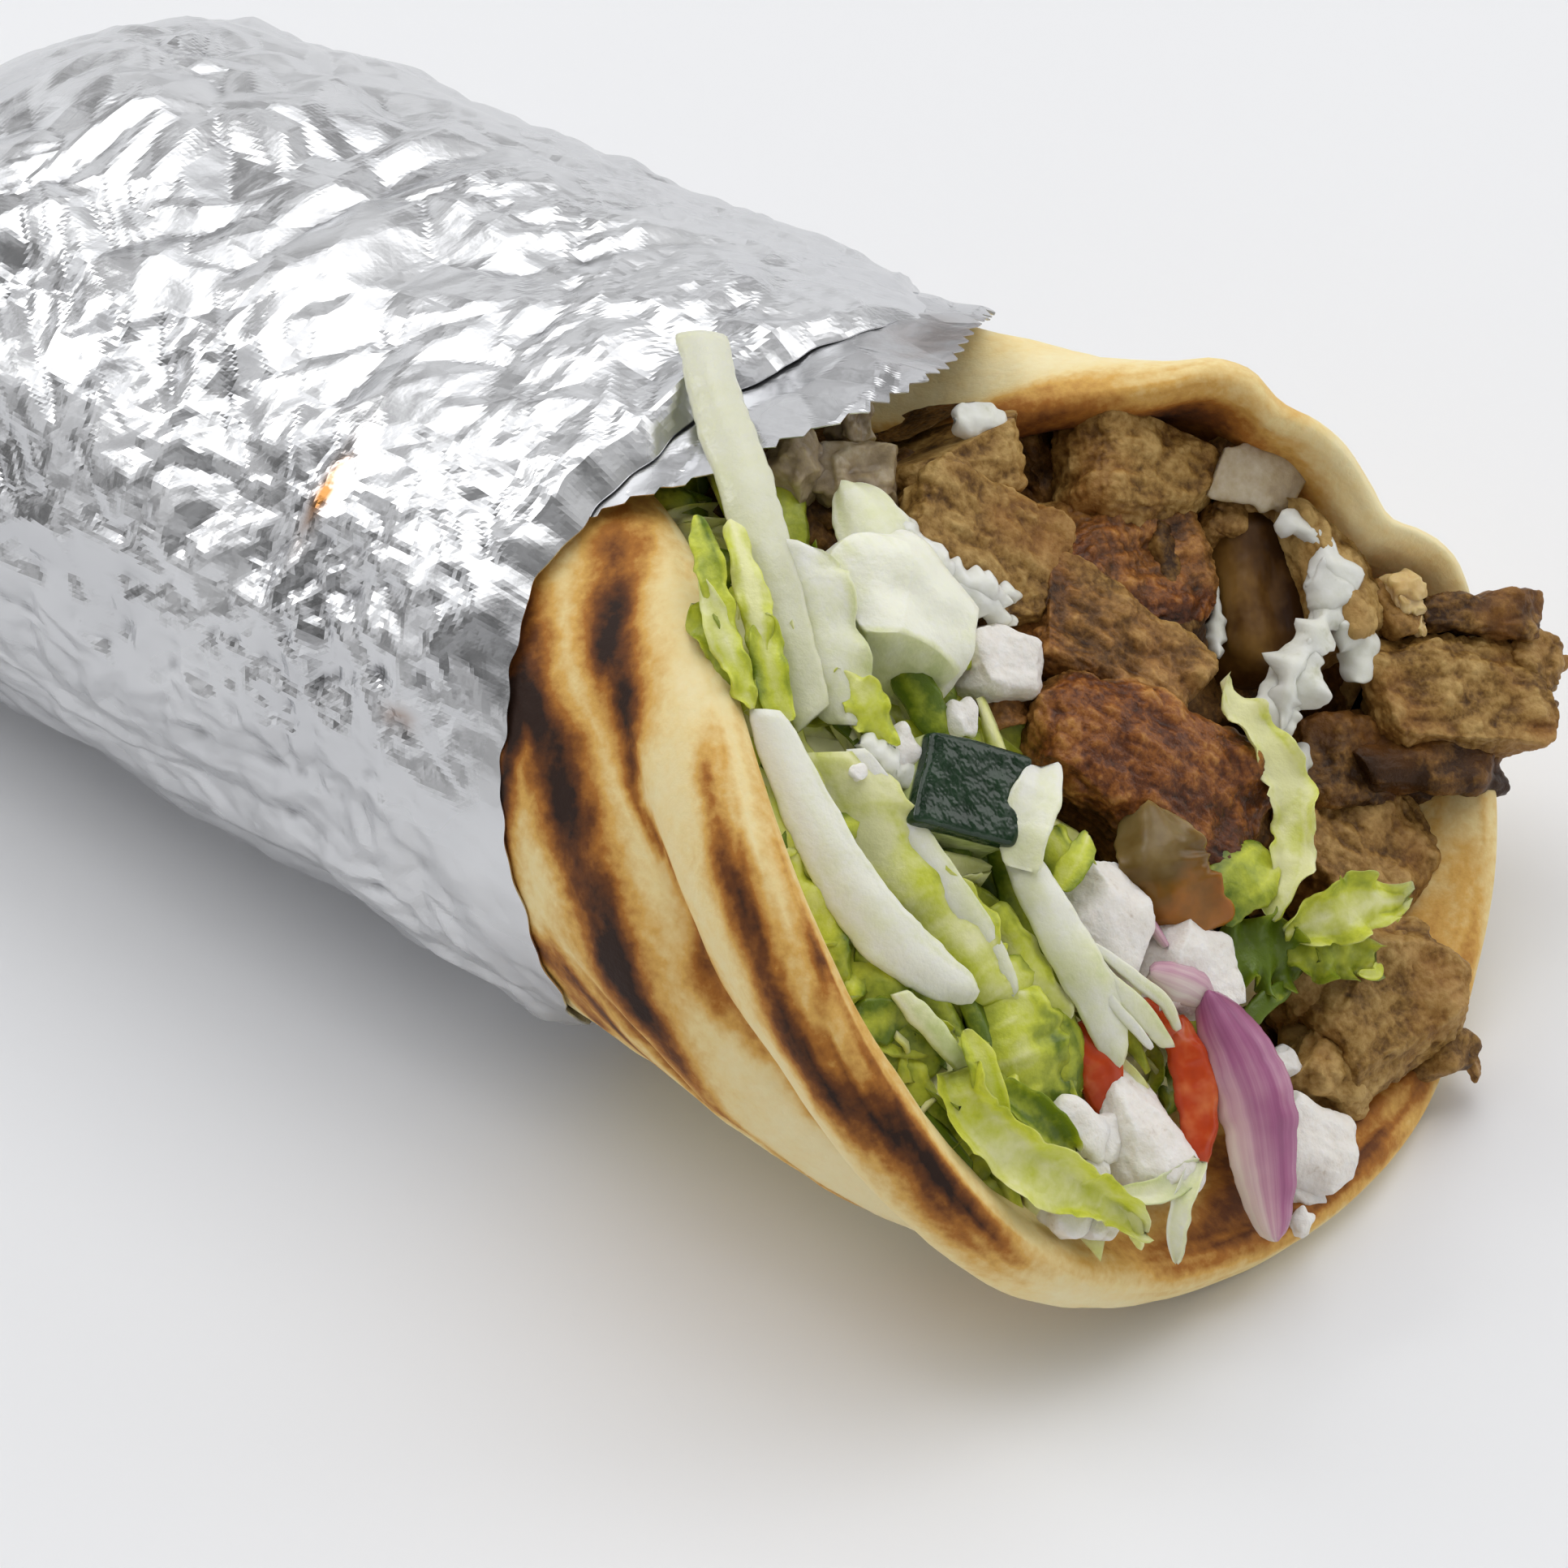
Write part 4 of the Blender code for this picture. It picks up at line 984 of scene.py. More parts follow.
BROAD = dict(rows=44, ring=30)
STANDS_FOR = {
    "cabbage_near": "cabbage_strip_near",
    "lettuce_curl": "lettuce_curl_low",
    "lettuce_curly_ribbon": "lettuce_ribbon",
    "lettuce_leaf_curly": "lettuce_leaf_top",
}
LEAF, WHITE, PALE = (lettuce, "lettuce"), (cabbage, "white_onion"), (cabbage, "lettuce")  # finish and slot
TOP_STRIPS = [
    # name, finish and slot, width, thickness, tint at its start and end, then its path and its choices
    ("lettuce_band", LEAF, 8.6, 0.5, (0.12, 0.52),
     [(-24.3, -24, 1.2), (-26.4, -14, 1.4), (-26.3, -6.4, 1.3), (-26.2, 0.1, 1.0), (-24.6, 5.2, 0.4)],
     dict(ruffle=(0.7, 4), ends=(0.7, 0.6), slant=(0.5, 0.4), cup=-0.9, bumps=0.7, pleat=0.35, veins=0.12,
      **BROAD)),
    ("lettuce_rib", PALE, 2.7, 1.2, (0.0, 0.4),
     [(-22.4, -22.7, 2.0), (-22.9, -16.4, 2.2), (-23.4, -9.7, 2.2), (-23.6, -2.7, 2.0),
      (-24.2, 3.2, 1.4)],
     dict(ragged=0.03, ends=(0.5, 0.3), slant=(0.6, -0.5), pleat=0.1, rows=36)),
    ("lettuce_broad", LEAF, 11.5, 0.6, (0.45, 0.8),
     [(-26.5, 2.5, 0.2), (-28.3, 7.5, 0.7), (-29.4, 13.2, -0.6)],
     dict(ends=(0.75, 0.5), cup=-1.7, ruffle=(0.6, 2), bumps=0.8, pleat=0.3, veins=0.15, **BROAD)),
    ("lettuce_broad_fold", LEAF, 6.0, 0.7, (0.6, 0.95),
     [(-23.2, 4.6, 0.2), (-24.0, 9.2, 0.6), (-25.6, 14.6, -0.8)],
     dict(ends=(0.5, 0.4), cup=-1.5, ruffle=(0.4, 2), bumps=0.6, veins=0.1, rows=34, ring=20)),
    ("cabbage_near", WHITE, 5.4, 1.3, (-0.05, 0.2),
     [(-26.8, -30.6, 1.0), (-30.7, -19.9, 1.8), (-32.2, -11.2, 2.2), (-30.8, -4.4, 2.4),
      (-28.2, 0.2, 2.4)],
     dict(ends=(0.45, 0.25), slant=(0.5, -0.6), cup=-0.5, bumps=0.3, ragged=0.03, pleat=0.12, rows=48,
      ring=24)),
    ("cabbage_tip_top", WHITE, 4.6, 1.3, (-0.1, 0.3),
     [(-8.6, -9.8, 3.6), (-11.6, -8.6, 4.4), (-14.6, -7.2, 4.2), (-17.0, -4.6, 3.4)],
     dict(ragged=0.04, ends=(0.55, 0.6), slant=(-0.7, 0.2), cup=0.6, bumps=0.4, twist=25, rows=30)),
    ("cabbage_tip_strip", WHITE, 4.4, 1.2, (0.05, 0.45),
     [(-15.6, -6.4, 3.0), (-17.4, -1.6, 3.8), (-18.4, 4.0, 3.8), (-19.3, 9.8, 3.3), (-20.2, 14.6, 2.2)],
     dict(ragged=0.03, ends=(0.5, 0.35), slant=(0.2, -0.8), cup=-0.5, bumps=0.35, pleat=0.1, rows=40)),
    ("cabbage_sliver", WHITE, 1.9, 0.8, (0.15, 0.45),
     [(-17.6, 1.5, 3.9), (-17.4, 7.2, 4.1), (-16.4, 12.6, 3.8), (-15.9, 16.4, 3.2)],
     dict(ends=(0.4, 0.6), slant=(0, 0.8), rows=34)),
    ("cabbage_sliver_two", WHITE, 1.3, 0.7, (0.1, 0.3),
     [(-16.4, 4.5, 4.1), (-15.2, 9.0, 4.4), (-13.8, 13.2, 4.0), (-13.9, 16.0, 3.4)],
     dict(ends=(0.3, 0.5), rows=34)),
    ("cabbage_sliver_three", WHITE, 1.1, 0.6, (0.35, 0.1),
     [(-18.6, 5.5, 3.7), (-18.3, 10.5, 3.9), (-17.3, 15.4, 3.1)],
     dict(ends=(0.3, 0.4), rows=30)),
    ("lettuce_small_leaf", LEAF, 2.8, 0.6, (0.6, 0.75),
     [(-9.4, -2.6, 4.0), (-12.2, -1.8, 4.5), (-15.0, -0.8, 3.5)],
     dict(ends=(0.1, 0.5), slant=(0.6, 0), cup=0.3, twist=40, veins=0.1, rows=30)),
    ("cabbage_pale", PALE, 6.4, 0.6, (0.15, 0.65),
     [(-12.6, -39.2, 0.6), (-15.0, -34.2, 1.3), (-18.2, -29.1, 1.6), (-20.8, -24.4, 1.2)],
     dict(ends=(0.5, 0.6), slant=(0.8, 0.3), ruffle=(0.5, 3), cup=-0.6, pleat=0.3, bumps=0.4, rows=40,
      ring=24)),
    ("lettuce_fold_top", PALE, 6.8, 1.0, (0.45, 0.2),
     [(-2.0, -39.6, -2.6), (-3.6, -36.4, -0.8), (-5.4, -33.6, 0.6), (-7.4, -30.8, 1.2)],
     dict(ends=(0.12, 0.7), cup=-1.0, pleat=0.35, bumps=0.3, ragged=0.03, rows=44, ring=26)),
    ("lettuce_yellow_tip", LEAF, 3.6, 0.7, (0.4, 0.45),
     [(-18.2, -28.4, 2.0), (-19.2, -25.0, 2.9), (-19.8, -21.4, 2.4)],
     dict(ends=(0.3, 0.4), ruffle=(1.1, 2.5), bumps=0.8, slant=(0.8, 0.8), rows=34, ring=20)),
    ("lettuce_shred_high", LEAF, 3.0, 0.7, (0.15, 0.45),
     [(-15.6, -44.4, -1.4), (-19.4, -39.2, 0.2), (-23.1, -34.0, 0.6)],
     dict(ends=(0.15, 0.5), ruffle=(0.5, 3), twist=50, veins=0.1, rows=34)),
    ("lettuce_shred_edge", LEAF, 2.6, 0.7, (0.75, 0.55),
     [(-17.6, -46.6, -2.2), (-21.4, -42.0, -0.6), (-24.6, -36.4, 0.0)],
     dict(ends=(0.2, 0.4), ruffle=(0.5, 3), twist=-40, rows=34)),
    ("lettuce_shred_low", LEAF, 3.4, 0.7, (0.55, 0.35),
     [(-20.6, -36.6, 0.6), (-23.6, -33.0, 0.8), (-25.6, -28.4, 0.6)],
     dict(ends=(0.2, 0.4), ruffle=(0.7, 2), cup=0.6, rows=34)),
    ("lettuce_low_near", LEAF, 6.2, 0.8, (0.55, 0.85),
     [(-33.4, -10.6, -0.8), (-35.6, -3.8, -0.2), (-35.8, 3.4, -0.6)],
     dict(ends=(0.5, 0.6), cup=-0.9, bumps=0.6, pleat=0.2, ruffle=(0.5, 3), rows=36, ring=22)),
    ("lettuce_stick", PALE, 2.1, 1.1, (0.55, 0.65),
     [(-34.4, -4.6, 1.6), (-34.3, -0.2, 2.0), (-33.7, 4.6, 1.6)],
     dict(ends=(0.6, 0.6), slant=(0.5, -0.5))),
    ("lettuce_curl", LEAF, 5.0, 0.5, (0.36, 0.3),
     [(-34.6, 4.2, 1.2), (-36.4, 8.0, 1.8), (-35.8, 13.1, 2.4), (-33.6, 18.2, 2.8), (-31.6, 21.8, 2.8),
      (-29.6, 26.2, 1.8)],
     dict(ends=(0.7, 0.08), cup=2.0, ruffle=(0.8, 4), bumps=0.4, veins=0.15, pleat=0.25, ragged=0.12,
      rows=60, ring=26)),
    ("lettuce_curl_shard", LEAF, 2.7, 0.7, (0.5, 0.45),
     [(-32.4, 1.6, 3.0), (-33.4, 5.4, 3.3), (-34.6, 9.4, 2.6)],
     dict(ends=(0.12, 0.7), cup=0.6, twist=30, rows=30)),
    ("lettuce_curl_inner", LEAF, 3.6, 0.6, (0.85, 0.75),
     [(-33.0, 7.6, 2.2), (-31.4, 12.2, 2.9), (-29.6, 16.6, 1.8)],
     dict(ends=(0.4, 0.12), cup=1.2, twist=45, rows=34)),
    ("lettuce_tip_low", LEAF, 1.6, 0.6, (0.25, 0.05),
     [(-31.2, 20.6, 2.6), (-30.2, 24.4, 2.6), (-30.6, 27.6, 1.6)],
     dict(ends=(0.9, 0.12), rows=24)),
    ("lettuce_tail_cross", PALE, 2.4, 0.6, (0.55, 0.35),
     [(-29.4, 22.6, 1.8), (-25.7, 25.0, 2.6), (-21.0, 25.8, 2.8)],
     dict(ends=(0.3, 0.5), cup=0.7, twist=40, rows=30)),
    ("lettuce_tail_low", PALE, 2.0, 0.7, (0.45, 0.25),
     [(-20.8, 25.8, 2.8), (-24.4, 26.9, 2.9), (-26.6, 28.7, 2.1), (-27.8, 31.0, 0.8)],
     dict(ends=(0.7, 0.1), cup=0.8, pleat=0.15, rows=36)),
    ("lettuce_curly_ribbon", LEAF, 4.6, 0.5, (-0.05, 0.28),
     [(15.0, -2.8, 2.4), (13.8, 1.4, 3.4), (13.2, 6.0, 4.0), (10.9, 10.4, 4.2), (6.4, 13.8, 4.0),
      (2.2, 15.8, 3.2)],
     dict(ends=(0.2, 0.12), ruffle=(1.3, 4), cup=0.9, twist=60, ragged=0.14, pleat=0.2, bumps=0.3,
      veins=0.1, rows=60, ring=26)),
    ("lettuce_leaf_under", LEAF, 6.0, 0.5, (0.8, 0.62),
     [(-2.0, 11.0, 2.8), (2.2, 10.9, 3.6), (6.8, 11.2, 3.4)],
     dict(ends=(0.6, 0.5), cup=-0.4, bumps=0.4, rows=30, ring=20)),
    ("lettuce_leaf_curly", LEAF, 5.4, 0.45, (0.5, 0.35),
     [(2.6, 17.4, 3.0), (6.2, 18.8, 5.2), (9.8, 20.6, 6.2), (13.2, 22.8, 6.4)],
     dict(ends=(0.35, 0.1), ruffle=(1.5, 3.5), cup=1.2, ragged=0.16, pleat=0.3, twist=-35, bumps=0.5,
      veins=0.12, rows=50, ring=28)),
    ("lettuce_leaf_bright", LEAF, 5.8, 0.45, (0.8, 0.72),
     [(2.4, 19.0, 2.2), (5.4, 22.0, 3.8), (8.4, 25.4, 3.6)],
     dict(ends=(0.4, 0.3), ruffle=(1.5, 3.5), cup=0.9, ragged=0.16, pleat=0.3, twist=25, bumps=0.6,
      veins=0.1, rows=40, ring=26)),
    # These two take the leaf's darkest green all over: painted shade where they lie in shadow.
    ("lettuce_leaf_painted_shade", LEAF, 6.4, 0.6, (1.6, 1.45),
     [(-3.4, 15.4, 0.6), (0.4, 17.8, 1.8), (3.4, 21.4, 1.6)],
     dict(ends=(0.5, 0.4), ruffle=(1.6, 4), ragged=0.16, cup=0.8, pleat=0.4, twist=40, bumps=0.5, rows=36,
      ring=22)),
    ("lettuce_stem_painted_shade", LEAF, 2.2, 0.8, (1.2, 1.1),
     [(-5.6, 21.4, 0.2), (-2.2, 21.2, 1.2), (0.8, 21.8, 1.2)],
     dict(ends=(0.4, 0.4), twist=30, rows=24)),
    ("lettuce_edge_high", LEAF, 3.6, 0.5, (0.6, 0.45),
     [(-23.4, -41.0, -2.4), (-25.8, -34.6, -1.2), (-28.0, -28.0, -0.4)],
     dict(ends=(0.3, 0.5), ruffle=(1.0, 4), ragged=0.14, bumps=0.6, twist=30, rows=36, ring=20)),
    ("lettuce_edge_pale", LEAF, 2.6, 0.5, (0.2, 0.35),
     [(-22.0, -42.6, -1.2), (-25.6, -36.0, 0.4), (-27.6, -31.4, 0.6)],
     dict(ends=(0.2, 0.3), ruffle=(0.8, 3), ragged=0.14, twist=-40, rows=30)),
    ("lettuce_edge_mid", LEAF, 4.6, 0.6, (0.45, 0.75),
     [(-34.2, -21.6, -1.0), (-35.6, -14.6, -0.4), (-36.4, -8.0, -0.8)],
     dict(ends=(0.4, 0.4), ruffle=(0.7, 3), ragged=0.12, bumps=0.6, cup=-0.6, rows=34, ring=20)),
    ("lettuce_edge_low", LEAF, 4.4, 0.6, (0.75, 0.65),
     [(-37.0, -3.0, -1.6), (-37.6, 4.0, -1.2), (-36.4, 11.0, -1.2)],
     dict(ends=(0.4, 0.4), ruffle=(0.7, 3), ragged=0.12, bumps=0.6, cup=-0.6, rows=34, ring=20)),
    ("lettuce_gap_mid", LEAF, 4.6, 0.5, (0.75, 0.6),
     [(-9.6, -4.6, 0.6), (-12.2, 0.8, 1.2), (-14.4, 5.6, 0.8)],
     dict(ends=(0.4, 0.4), ruffle=(0.9, 3), ragged=0.14, bumps=0.5, twist=25, rows=34, ring=20)),
    ("lettuce_gap_deep", LEAF, 4.4, 0.5, (0.3, 0.2),
     [(-20.2, -3.6, 0.8), (-21.4, 3.2, 1.2), (-22.0, 8.6, 0.8)],
     dict(ends=(0.4, 0.4), ruffle=(0.6, 3), ragged=0.12, bumps=0.5, cup=-0.6, rows=34, ring=20)),
    ("herb_sliver", LEAF, 1.1, 0.5, (0.55, 0.5),
     [(5.0, 24.6, 5.0), (6.3, 25.8, 5.3), (7.4, 25.4, 5.1)],
     dict(ends=(0.3, 0.3), cup=0.3)),
]
for number, (name, (look, slot), width, thick, tints, path, choices) in enumerate(TOP_STRIPS):
    places, faces, values = ribbon(path, width, thick, seed=number + 3, **choices)
    tint = tints[0] + (tints[1] - tints[0]) * values["length"] + 0.15 * np.abs(values["breadth"]) ** 3
    values["tint"] = values["tint"] + tint
    piece(name, (places, faces, values), look, slot, [STANDS_FOR[name]] if name in STANDS_FOR else ())

# ---- filling: onions ----
# A long cut of white onion lies over the foil's edge, a slice leans on the bread, and a petal of red onion
# stands at the lip: wet, crisp layers that let light through. One layer came soft and brown off the grill.

white_onion = leafy("white_onion", (0.74, 0.74, 0.61), (0.70, 0.70, 0.50), (0.60, 0.62, 0.35), shine=0.2)
places, faces, values = ribbon(
    [(2, -56.4, -11.3), (-5, -50.7, -6.9), (-11.4, -44.3, -2.5), (-17, -37, -0.5), (-23.0, -27.0, 0.7)],
    4.9, 1.7, rows=60, ring=24, ends=(0.9, 0.7), slant=(0.3, -0.5), cup=-0.4, ragged=0.03, bumps=0.15,
    pleat=0.08, seed=4,
)
values["tint"] = 0.05 + 0.5 * values["length"] + 0.25 * np.clip(-values["breadth"], 0, 1)
piece("onion_long_cut", (places, faces, values), white_onion, "white_onion", ["onion_strip_long"])

soaked = leafy("sauced_onion", (0.74, 0.68, 0.54), (0.46, 0.36, 0.22), (0.16, 0.11, 0.06), shine=0.25)
places, faces, values = ribbon(
    [(31.6, -16.4, 0.2), (34.8, -13.0, 1.2), (37.4, -9.8, 1.2)],
    5.6, 1.0, ends=(0.8, 0.7), slant=(0.3, 0.3), bumps=0.3, seed=23,
)
values["tint"] = 0.30 + 0.30 * values["length"]
piece("onion_wall_slice", (places, faces, values), soaked, "white_onion")


def morsels(rows, tint, seed, **choices):
    """A few small blocks as one mesh. Each row is place, size and turn. Hollows take a deeper tint: painted
    shade.
    """
    parts = []
    for k, (place, size, turn_by) in enumerate(rows):
        placed, faces, facing, skin, form = block(place, size, turn_by, n=24, seed=seed + k, **choices)
        values = {"tint": tint - 0.5 * skin, "length": form[:, 0], "breadth": form[:, 1]}
        parts.append((in_mouth(placed), [faces], values))
    return joined(parts)


lumps_of_onion = [
    ((2.6, -38.8, -7.0), (8, 6, 6), 40),
    ((-1.6, -42.2, -7.4), (6, 5, 5), 90),
    ((6.8, -41.6, -8.2), (5, 4, 4), 140),
]
form = morsels(lumps_of_onion, 0.55, 170, lumpy=0.2, relief=(0.6, 0.5, 0.08))
piece("sauced_lumps", form, soaked, "white_onion")

petal, tree, shader = finish("red_onion", Roughness=0.24, IOR=1.4)
lines = add(tree, "CombineXYZ", {"X": kept(tree, "breadth"), "Y": kept(tree, "length")}).outputs["Vector"]
drawn = add(tree, "Mapping", {"Vector": lines, "Scale": (0.0035, 0.0004, 1.0)}).outputs["Vector"]
streak, height = grain(tree, 1000.0, 3.0, 0.7, drawn)
colour = ramp(
    tree,
    total(tree, kept(tree, "tint"), streak, grain(tree, 160.0, 2.0, 0.4)[0]),
    [
        (0.05, (0.80, 0.68, 0.60)),
        (0.35, (0.60, 0.36, 0.42)),
        (0.65, (0.38, 0.13, 0.25)),
        (0.95, (0.20, 0.045, 0.12)),
    ],
)
dress(tree, shader, colour, height, 0.15, 0.3)
see_into(shader, 0.35, (3.0, 2.0, 2.4))
places, faces, values = ribbon(
    [(-9.6, 15.2, 4.6), (-13.2, 24.6, 5.8), (-19.6, 36.0, 3.4)],
    7.0, 1.4, rows=56, ring=32, ends=(0.10, 0.14), cup=-1.7, ragged=0.03, bumps=0.2, seed=9,
)
s, u = values["breadth"], values["length"]
values["tint"] = 0.64 - 0.62 * np.clip(1.1 * (u - 0.52) - 0.9 * s, 0, 1) + 0.25 * np.clip(0.5 - u, 0, 1)
piece("red_onion_petal_cut", (places, faces, values), petal, "red_onion", ["red_onion_petal"])

SHAVINGS = [
    # path, width, tint
    ([(-12.6, 10.6, 3.4), (-10.8, 13.6, 4.2), (-9.2, 16.6, 3.6)], 3.6, 0.20),
    ([(-8.6, 6.4, 3.0), (-9.4, 10.0, 3.6)], 1.0, 0.35),
]
parts = []
for k, (path, width, tint) in enumerate(SHAVINGS):
    shaving, faces, values = ribbon(path, width, 0.8, ends=(0.3, 0.5), cup=-0.8, seed=40 + k)
    parts.append((shaving, faces, {**values, "tint": tint + 0.25 * values["breadth"]}))
piece("red_onion_shavings", joined(parts), petal, "red_onion")

browns = [
    (0.05, (0.26, 0.185, 0.070)),
    (0.45, (0.140, 0.078, 0.012)),
    (0.70, (0.22, 0.095, 0.009)),
    (0.95, (0.36, 0.13, 0.009)),
]
flesh = (0.35, (3.0, 1.8, 0.8))
cooked = food("cooked_onion", "length", [(240.0, 3.0, 1.0)], browns, (0.3, 0.3), flesh, Roughness=0.28)
form = ribbon(
    [(-1.2, -0.4, 3.8), (-4.6, 3.2, 5.2), (-6.0, 6.8, 4.6), (-5.6, 11.2, 3.0)],
    9.4, 1.1, rows=44, ring=30, ends=(0.12, 0.6), slant=(0.4, 0.6), cup=-1.5, ruffle=(0.8, 1.5), bumps=0.5,
    pleat=0.35, seed=5,
)
piece("cooked_onion_layer", form, cooked, "cooked_onion", ["cooked_onion"])

# ---- filling: tomato and cucumber ----
# A wedge of tomato with its red flesh, and a block of cucumber with its dark skin up, both wet.

reds = [(0.1, (0.40, 0.035, 0.008)), (0.5, (0.57, 0.070, 0.015)), (0.9, (0.78, 0.24, 0.08))]
flesh = (0.3, (3.0, 1.0, 0.5))
tomato = food("tomato_flesh", 0.5, [(300.0, 3.0, 1.2)], reds, (0.3, 0.4), flesh, Roughness=0.18)
form = ribbon(
    [(-12.6, 15.4, 1.5), (-15.4, 21.4, 2.2), (-19.6, 26.6, 0.6)],
    3.6, 2.6, rows=34, ring=20, ends=(0.7, 0.5), square=0.8, bumps=0.5, seed=8,
)
piece("tomato_wedge", form, tomato, "tomato", ["tomato_strip"])
BIT = dict(square=0.8, bumps=0.4)
parts = [
    ribbon([(-20.2, 9.6, 0.0), (-21.4, 13.5, 0.4), (-22.4, 18.0, -0.6)], 4.0, 2.4, seed=18, **BIT),
    ribbon([(-14.6, 12.4, 1.0), (-13.4, 15.6, 1.6), (-12.4, 18.4, 1.0)], 3.4, 2.0, seed=19, **BIT),
]
piece("tomato_bits", joined(parts), tomato, "tomato")

green, tree, shader = finish("cucumber", Roughness=0.12, IOR=1.42)
cloud, height = grain(tree, 350.0, 3.0, 1.2)
level = total(tree, 0.5, cloud)
dark = ramp(tree, level, [(0.1, (0.004, 0.014, 0.006)), (0.9, (0.024, 0.056, 0.026))])
flesh = ramp(tree, level, [(0.1, (0.40, 0.48, 0.12)), (0.9, (0.68, 0.72, 0.38))])
dress(tree, shader, mixed(tree, kept(tree, "skin"), flesh, dark), height, 0.7, 0.5)
placed, faces, facing, skin, form = block(
    (0, 0, 0), (11.2, 8.8, 8.0), 0,
    n=40, boxiness=16.0, lumpy=0.02, relief=(0.16, 0.0, 0.03), seed=61, knife=0,
)
placed[:, 0] -= 0.16 * placed[:, 1]
placed = np.array([-16.2, -13.0, 0.2]) + turned(placed, 50, 0)
form = in_mouth(placed), [faces], {"skin": climb(form[:, 2], 0.62, 0.05)}
piece("cucumber_cut", form, green, "cucumber", ["cucumber_piece"])

# ---- filling: feta and tzatziki ----
# Crumbled white cheese, chalky with tiny pits, and a garlic and yoghurt sauce spooned over cabbage and meat.

chalky = [(420.0, 4.0, 1.0), (1500.0, 2.0, 0.6)]
whites = [(0.12, (0.62, 0.53, 0.43)), (0.34, (0.86, 0.81, 0.74)), (0.8, (0.93, 0.90, 0.86))]
feta = food("feta", 0.5, chalky, whites, (0.5, 0.35), (0.3, (2.0, 1.7, 1.3)), Roughness=0.6)
FETA = [
    ("feta_lump_a", (-12.2, 5.2, 0.2), (12, 8, 8), 115),
    ("feta_lump_b", (-7.6, 13.4, 0.4), (11, 9, 8), 40),
    ("feta_lump_c", (-21.6, 20.2, -1.0), (12, 7, 8), 120),
    ("feta_lump_d", (-6.6, 34.0, -3.2), (9, 8, 8), 60),
    ("feta_lump_e", (-1.2, -18.0, -2.6), (9, 7, 8), 50),
]
CHEESE = dict(n=34, lumpy=0.10, relief=(0.55, 0.25, 0.10), boxiness=4.5, knife=5)
for number, (name, place, size, turn_by) in enumerate(FETA):
    placed, faces, facing, skin, form = block(place, size, turn_by, seed=71 + number, **CHEESE)
    piece(name + "_crumb", (in_mouth(placed), [faces], {}), feta, "feta", [name])
CRUMBS = [
    # across, down, out, size
    (-33.9, 20.6, 0.8, 3.6), (-31.6, 23.4, 0.6, 3.0), (-27.6, 16.3, 0.8, 4.4), (-25.6, 18.9, 0.4, 3.4),
    (-20.8, 26.6, 0.6, 2.8), (-3.0, 39.0, -3.4, 2.6), (-9.4, 37.6, -2.6, 3.0), (-18.6, -19.8, 1.6, 3.2),
    (-10.2, -17.4, 0.6, 3.0), (-3.4, 27.0, -0.8, 2.6), (-28.6, 19.6, 0.8, 2.2), (-23.6, 22.9, 0.8, 2.4),
    (-29.4, 14.2, 1.2, 2.0), (-12.4, 38.4, -1.4, 1.8), (-24.2, -21.2, 2.6, 1.4),
]
CRUMB = dict(n=14, lumpy=0.16, relief=(0.25, 0.1, 0.06), boxiness=3.6)
parts = []
for k, (*place, big) in enumerate(CRUMBS):
    size = np.array([1.25, 1.0, 0.8]) * big
    placed, faces, facing, skin, form = block(place, size, 40 * k, seed=90 + k, **CRUMB)
    parts.append((in_mouth(placed), [faces], {}))
piece("feta_crumbs", joined(parts), feta, "feta")

placed, faces, facing, skin, form = block(
    (-8.0, -27.8, -1.2), (11.0, 15.0, 10.5), 6,
    n=48, boxiness=4.6, lumpy=0.07, relief=(0.7, 0.0, 0.05), seed=66, knife=0,
    cuts=[((-0.72, 0.65, 0.24), 0.62), ((-0.35, -0.57, 0.75), 0.72), ((0.5, 0.8, 0.2), 0.75)],
)
reach = form @ [-0.72, 0.65, 0.24]
cut_end = climb(reach, reach.max() - 0.10, 0.06)
fibres = 0.5 + 0.5 * np.sin(22 * form[:, 0] + 3 * form[:, 2])
pale_end = 0.30 * np.clip(-0.2 - form[:, 1], 0, 1) * fibres
tint = 0.02 + (0.42 + 0.14 * fibres) * cut_end + pale_end
values = {"tint": tint, "length": form[:, 0], "breadth": form[:, 1]}
piece("cabbage_rib_cut", (in_mouth(placed), [faces], values), cabbage, "white_onion", ["cabbage_rib"])

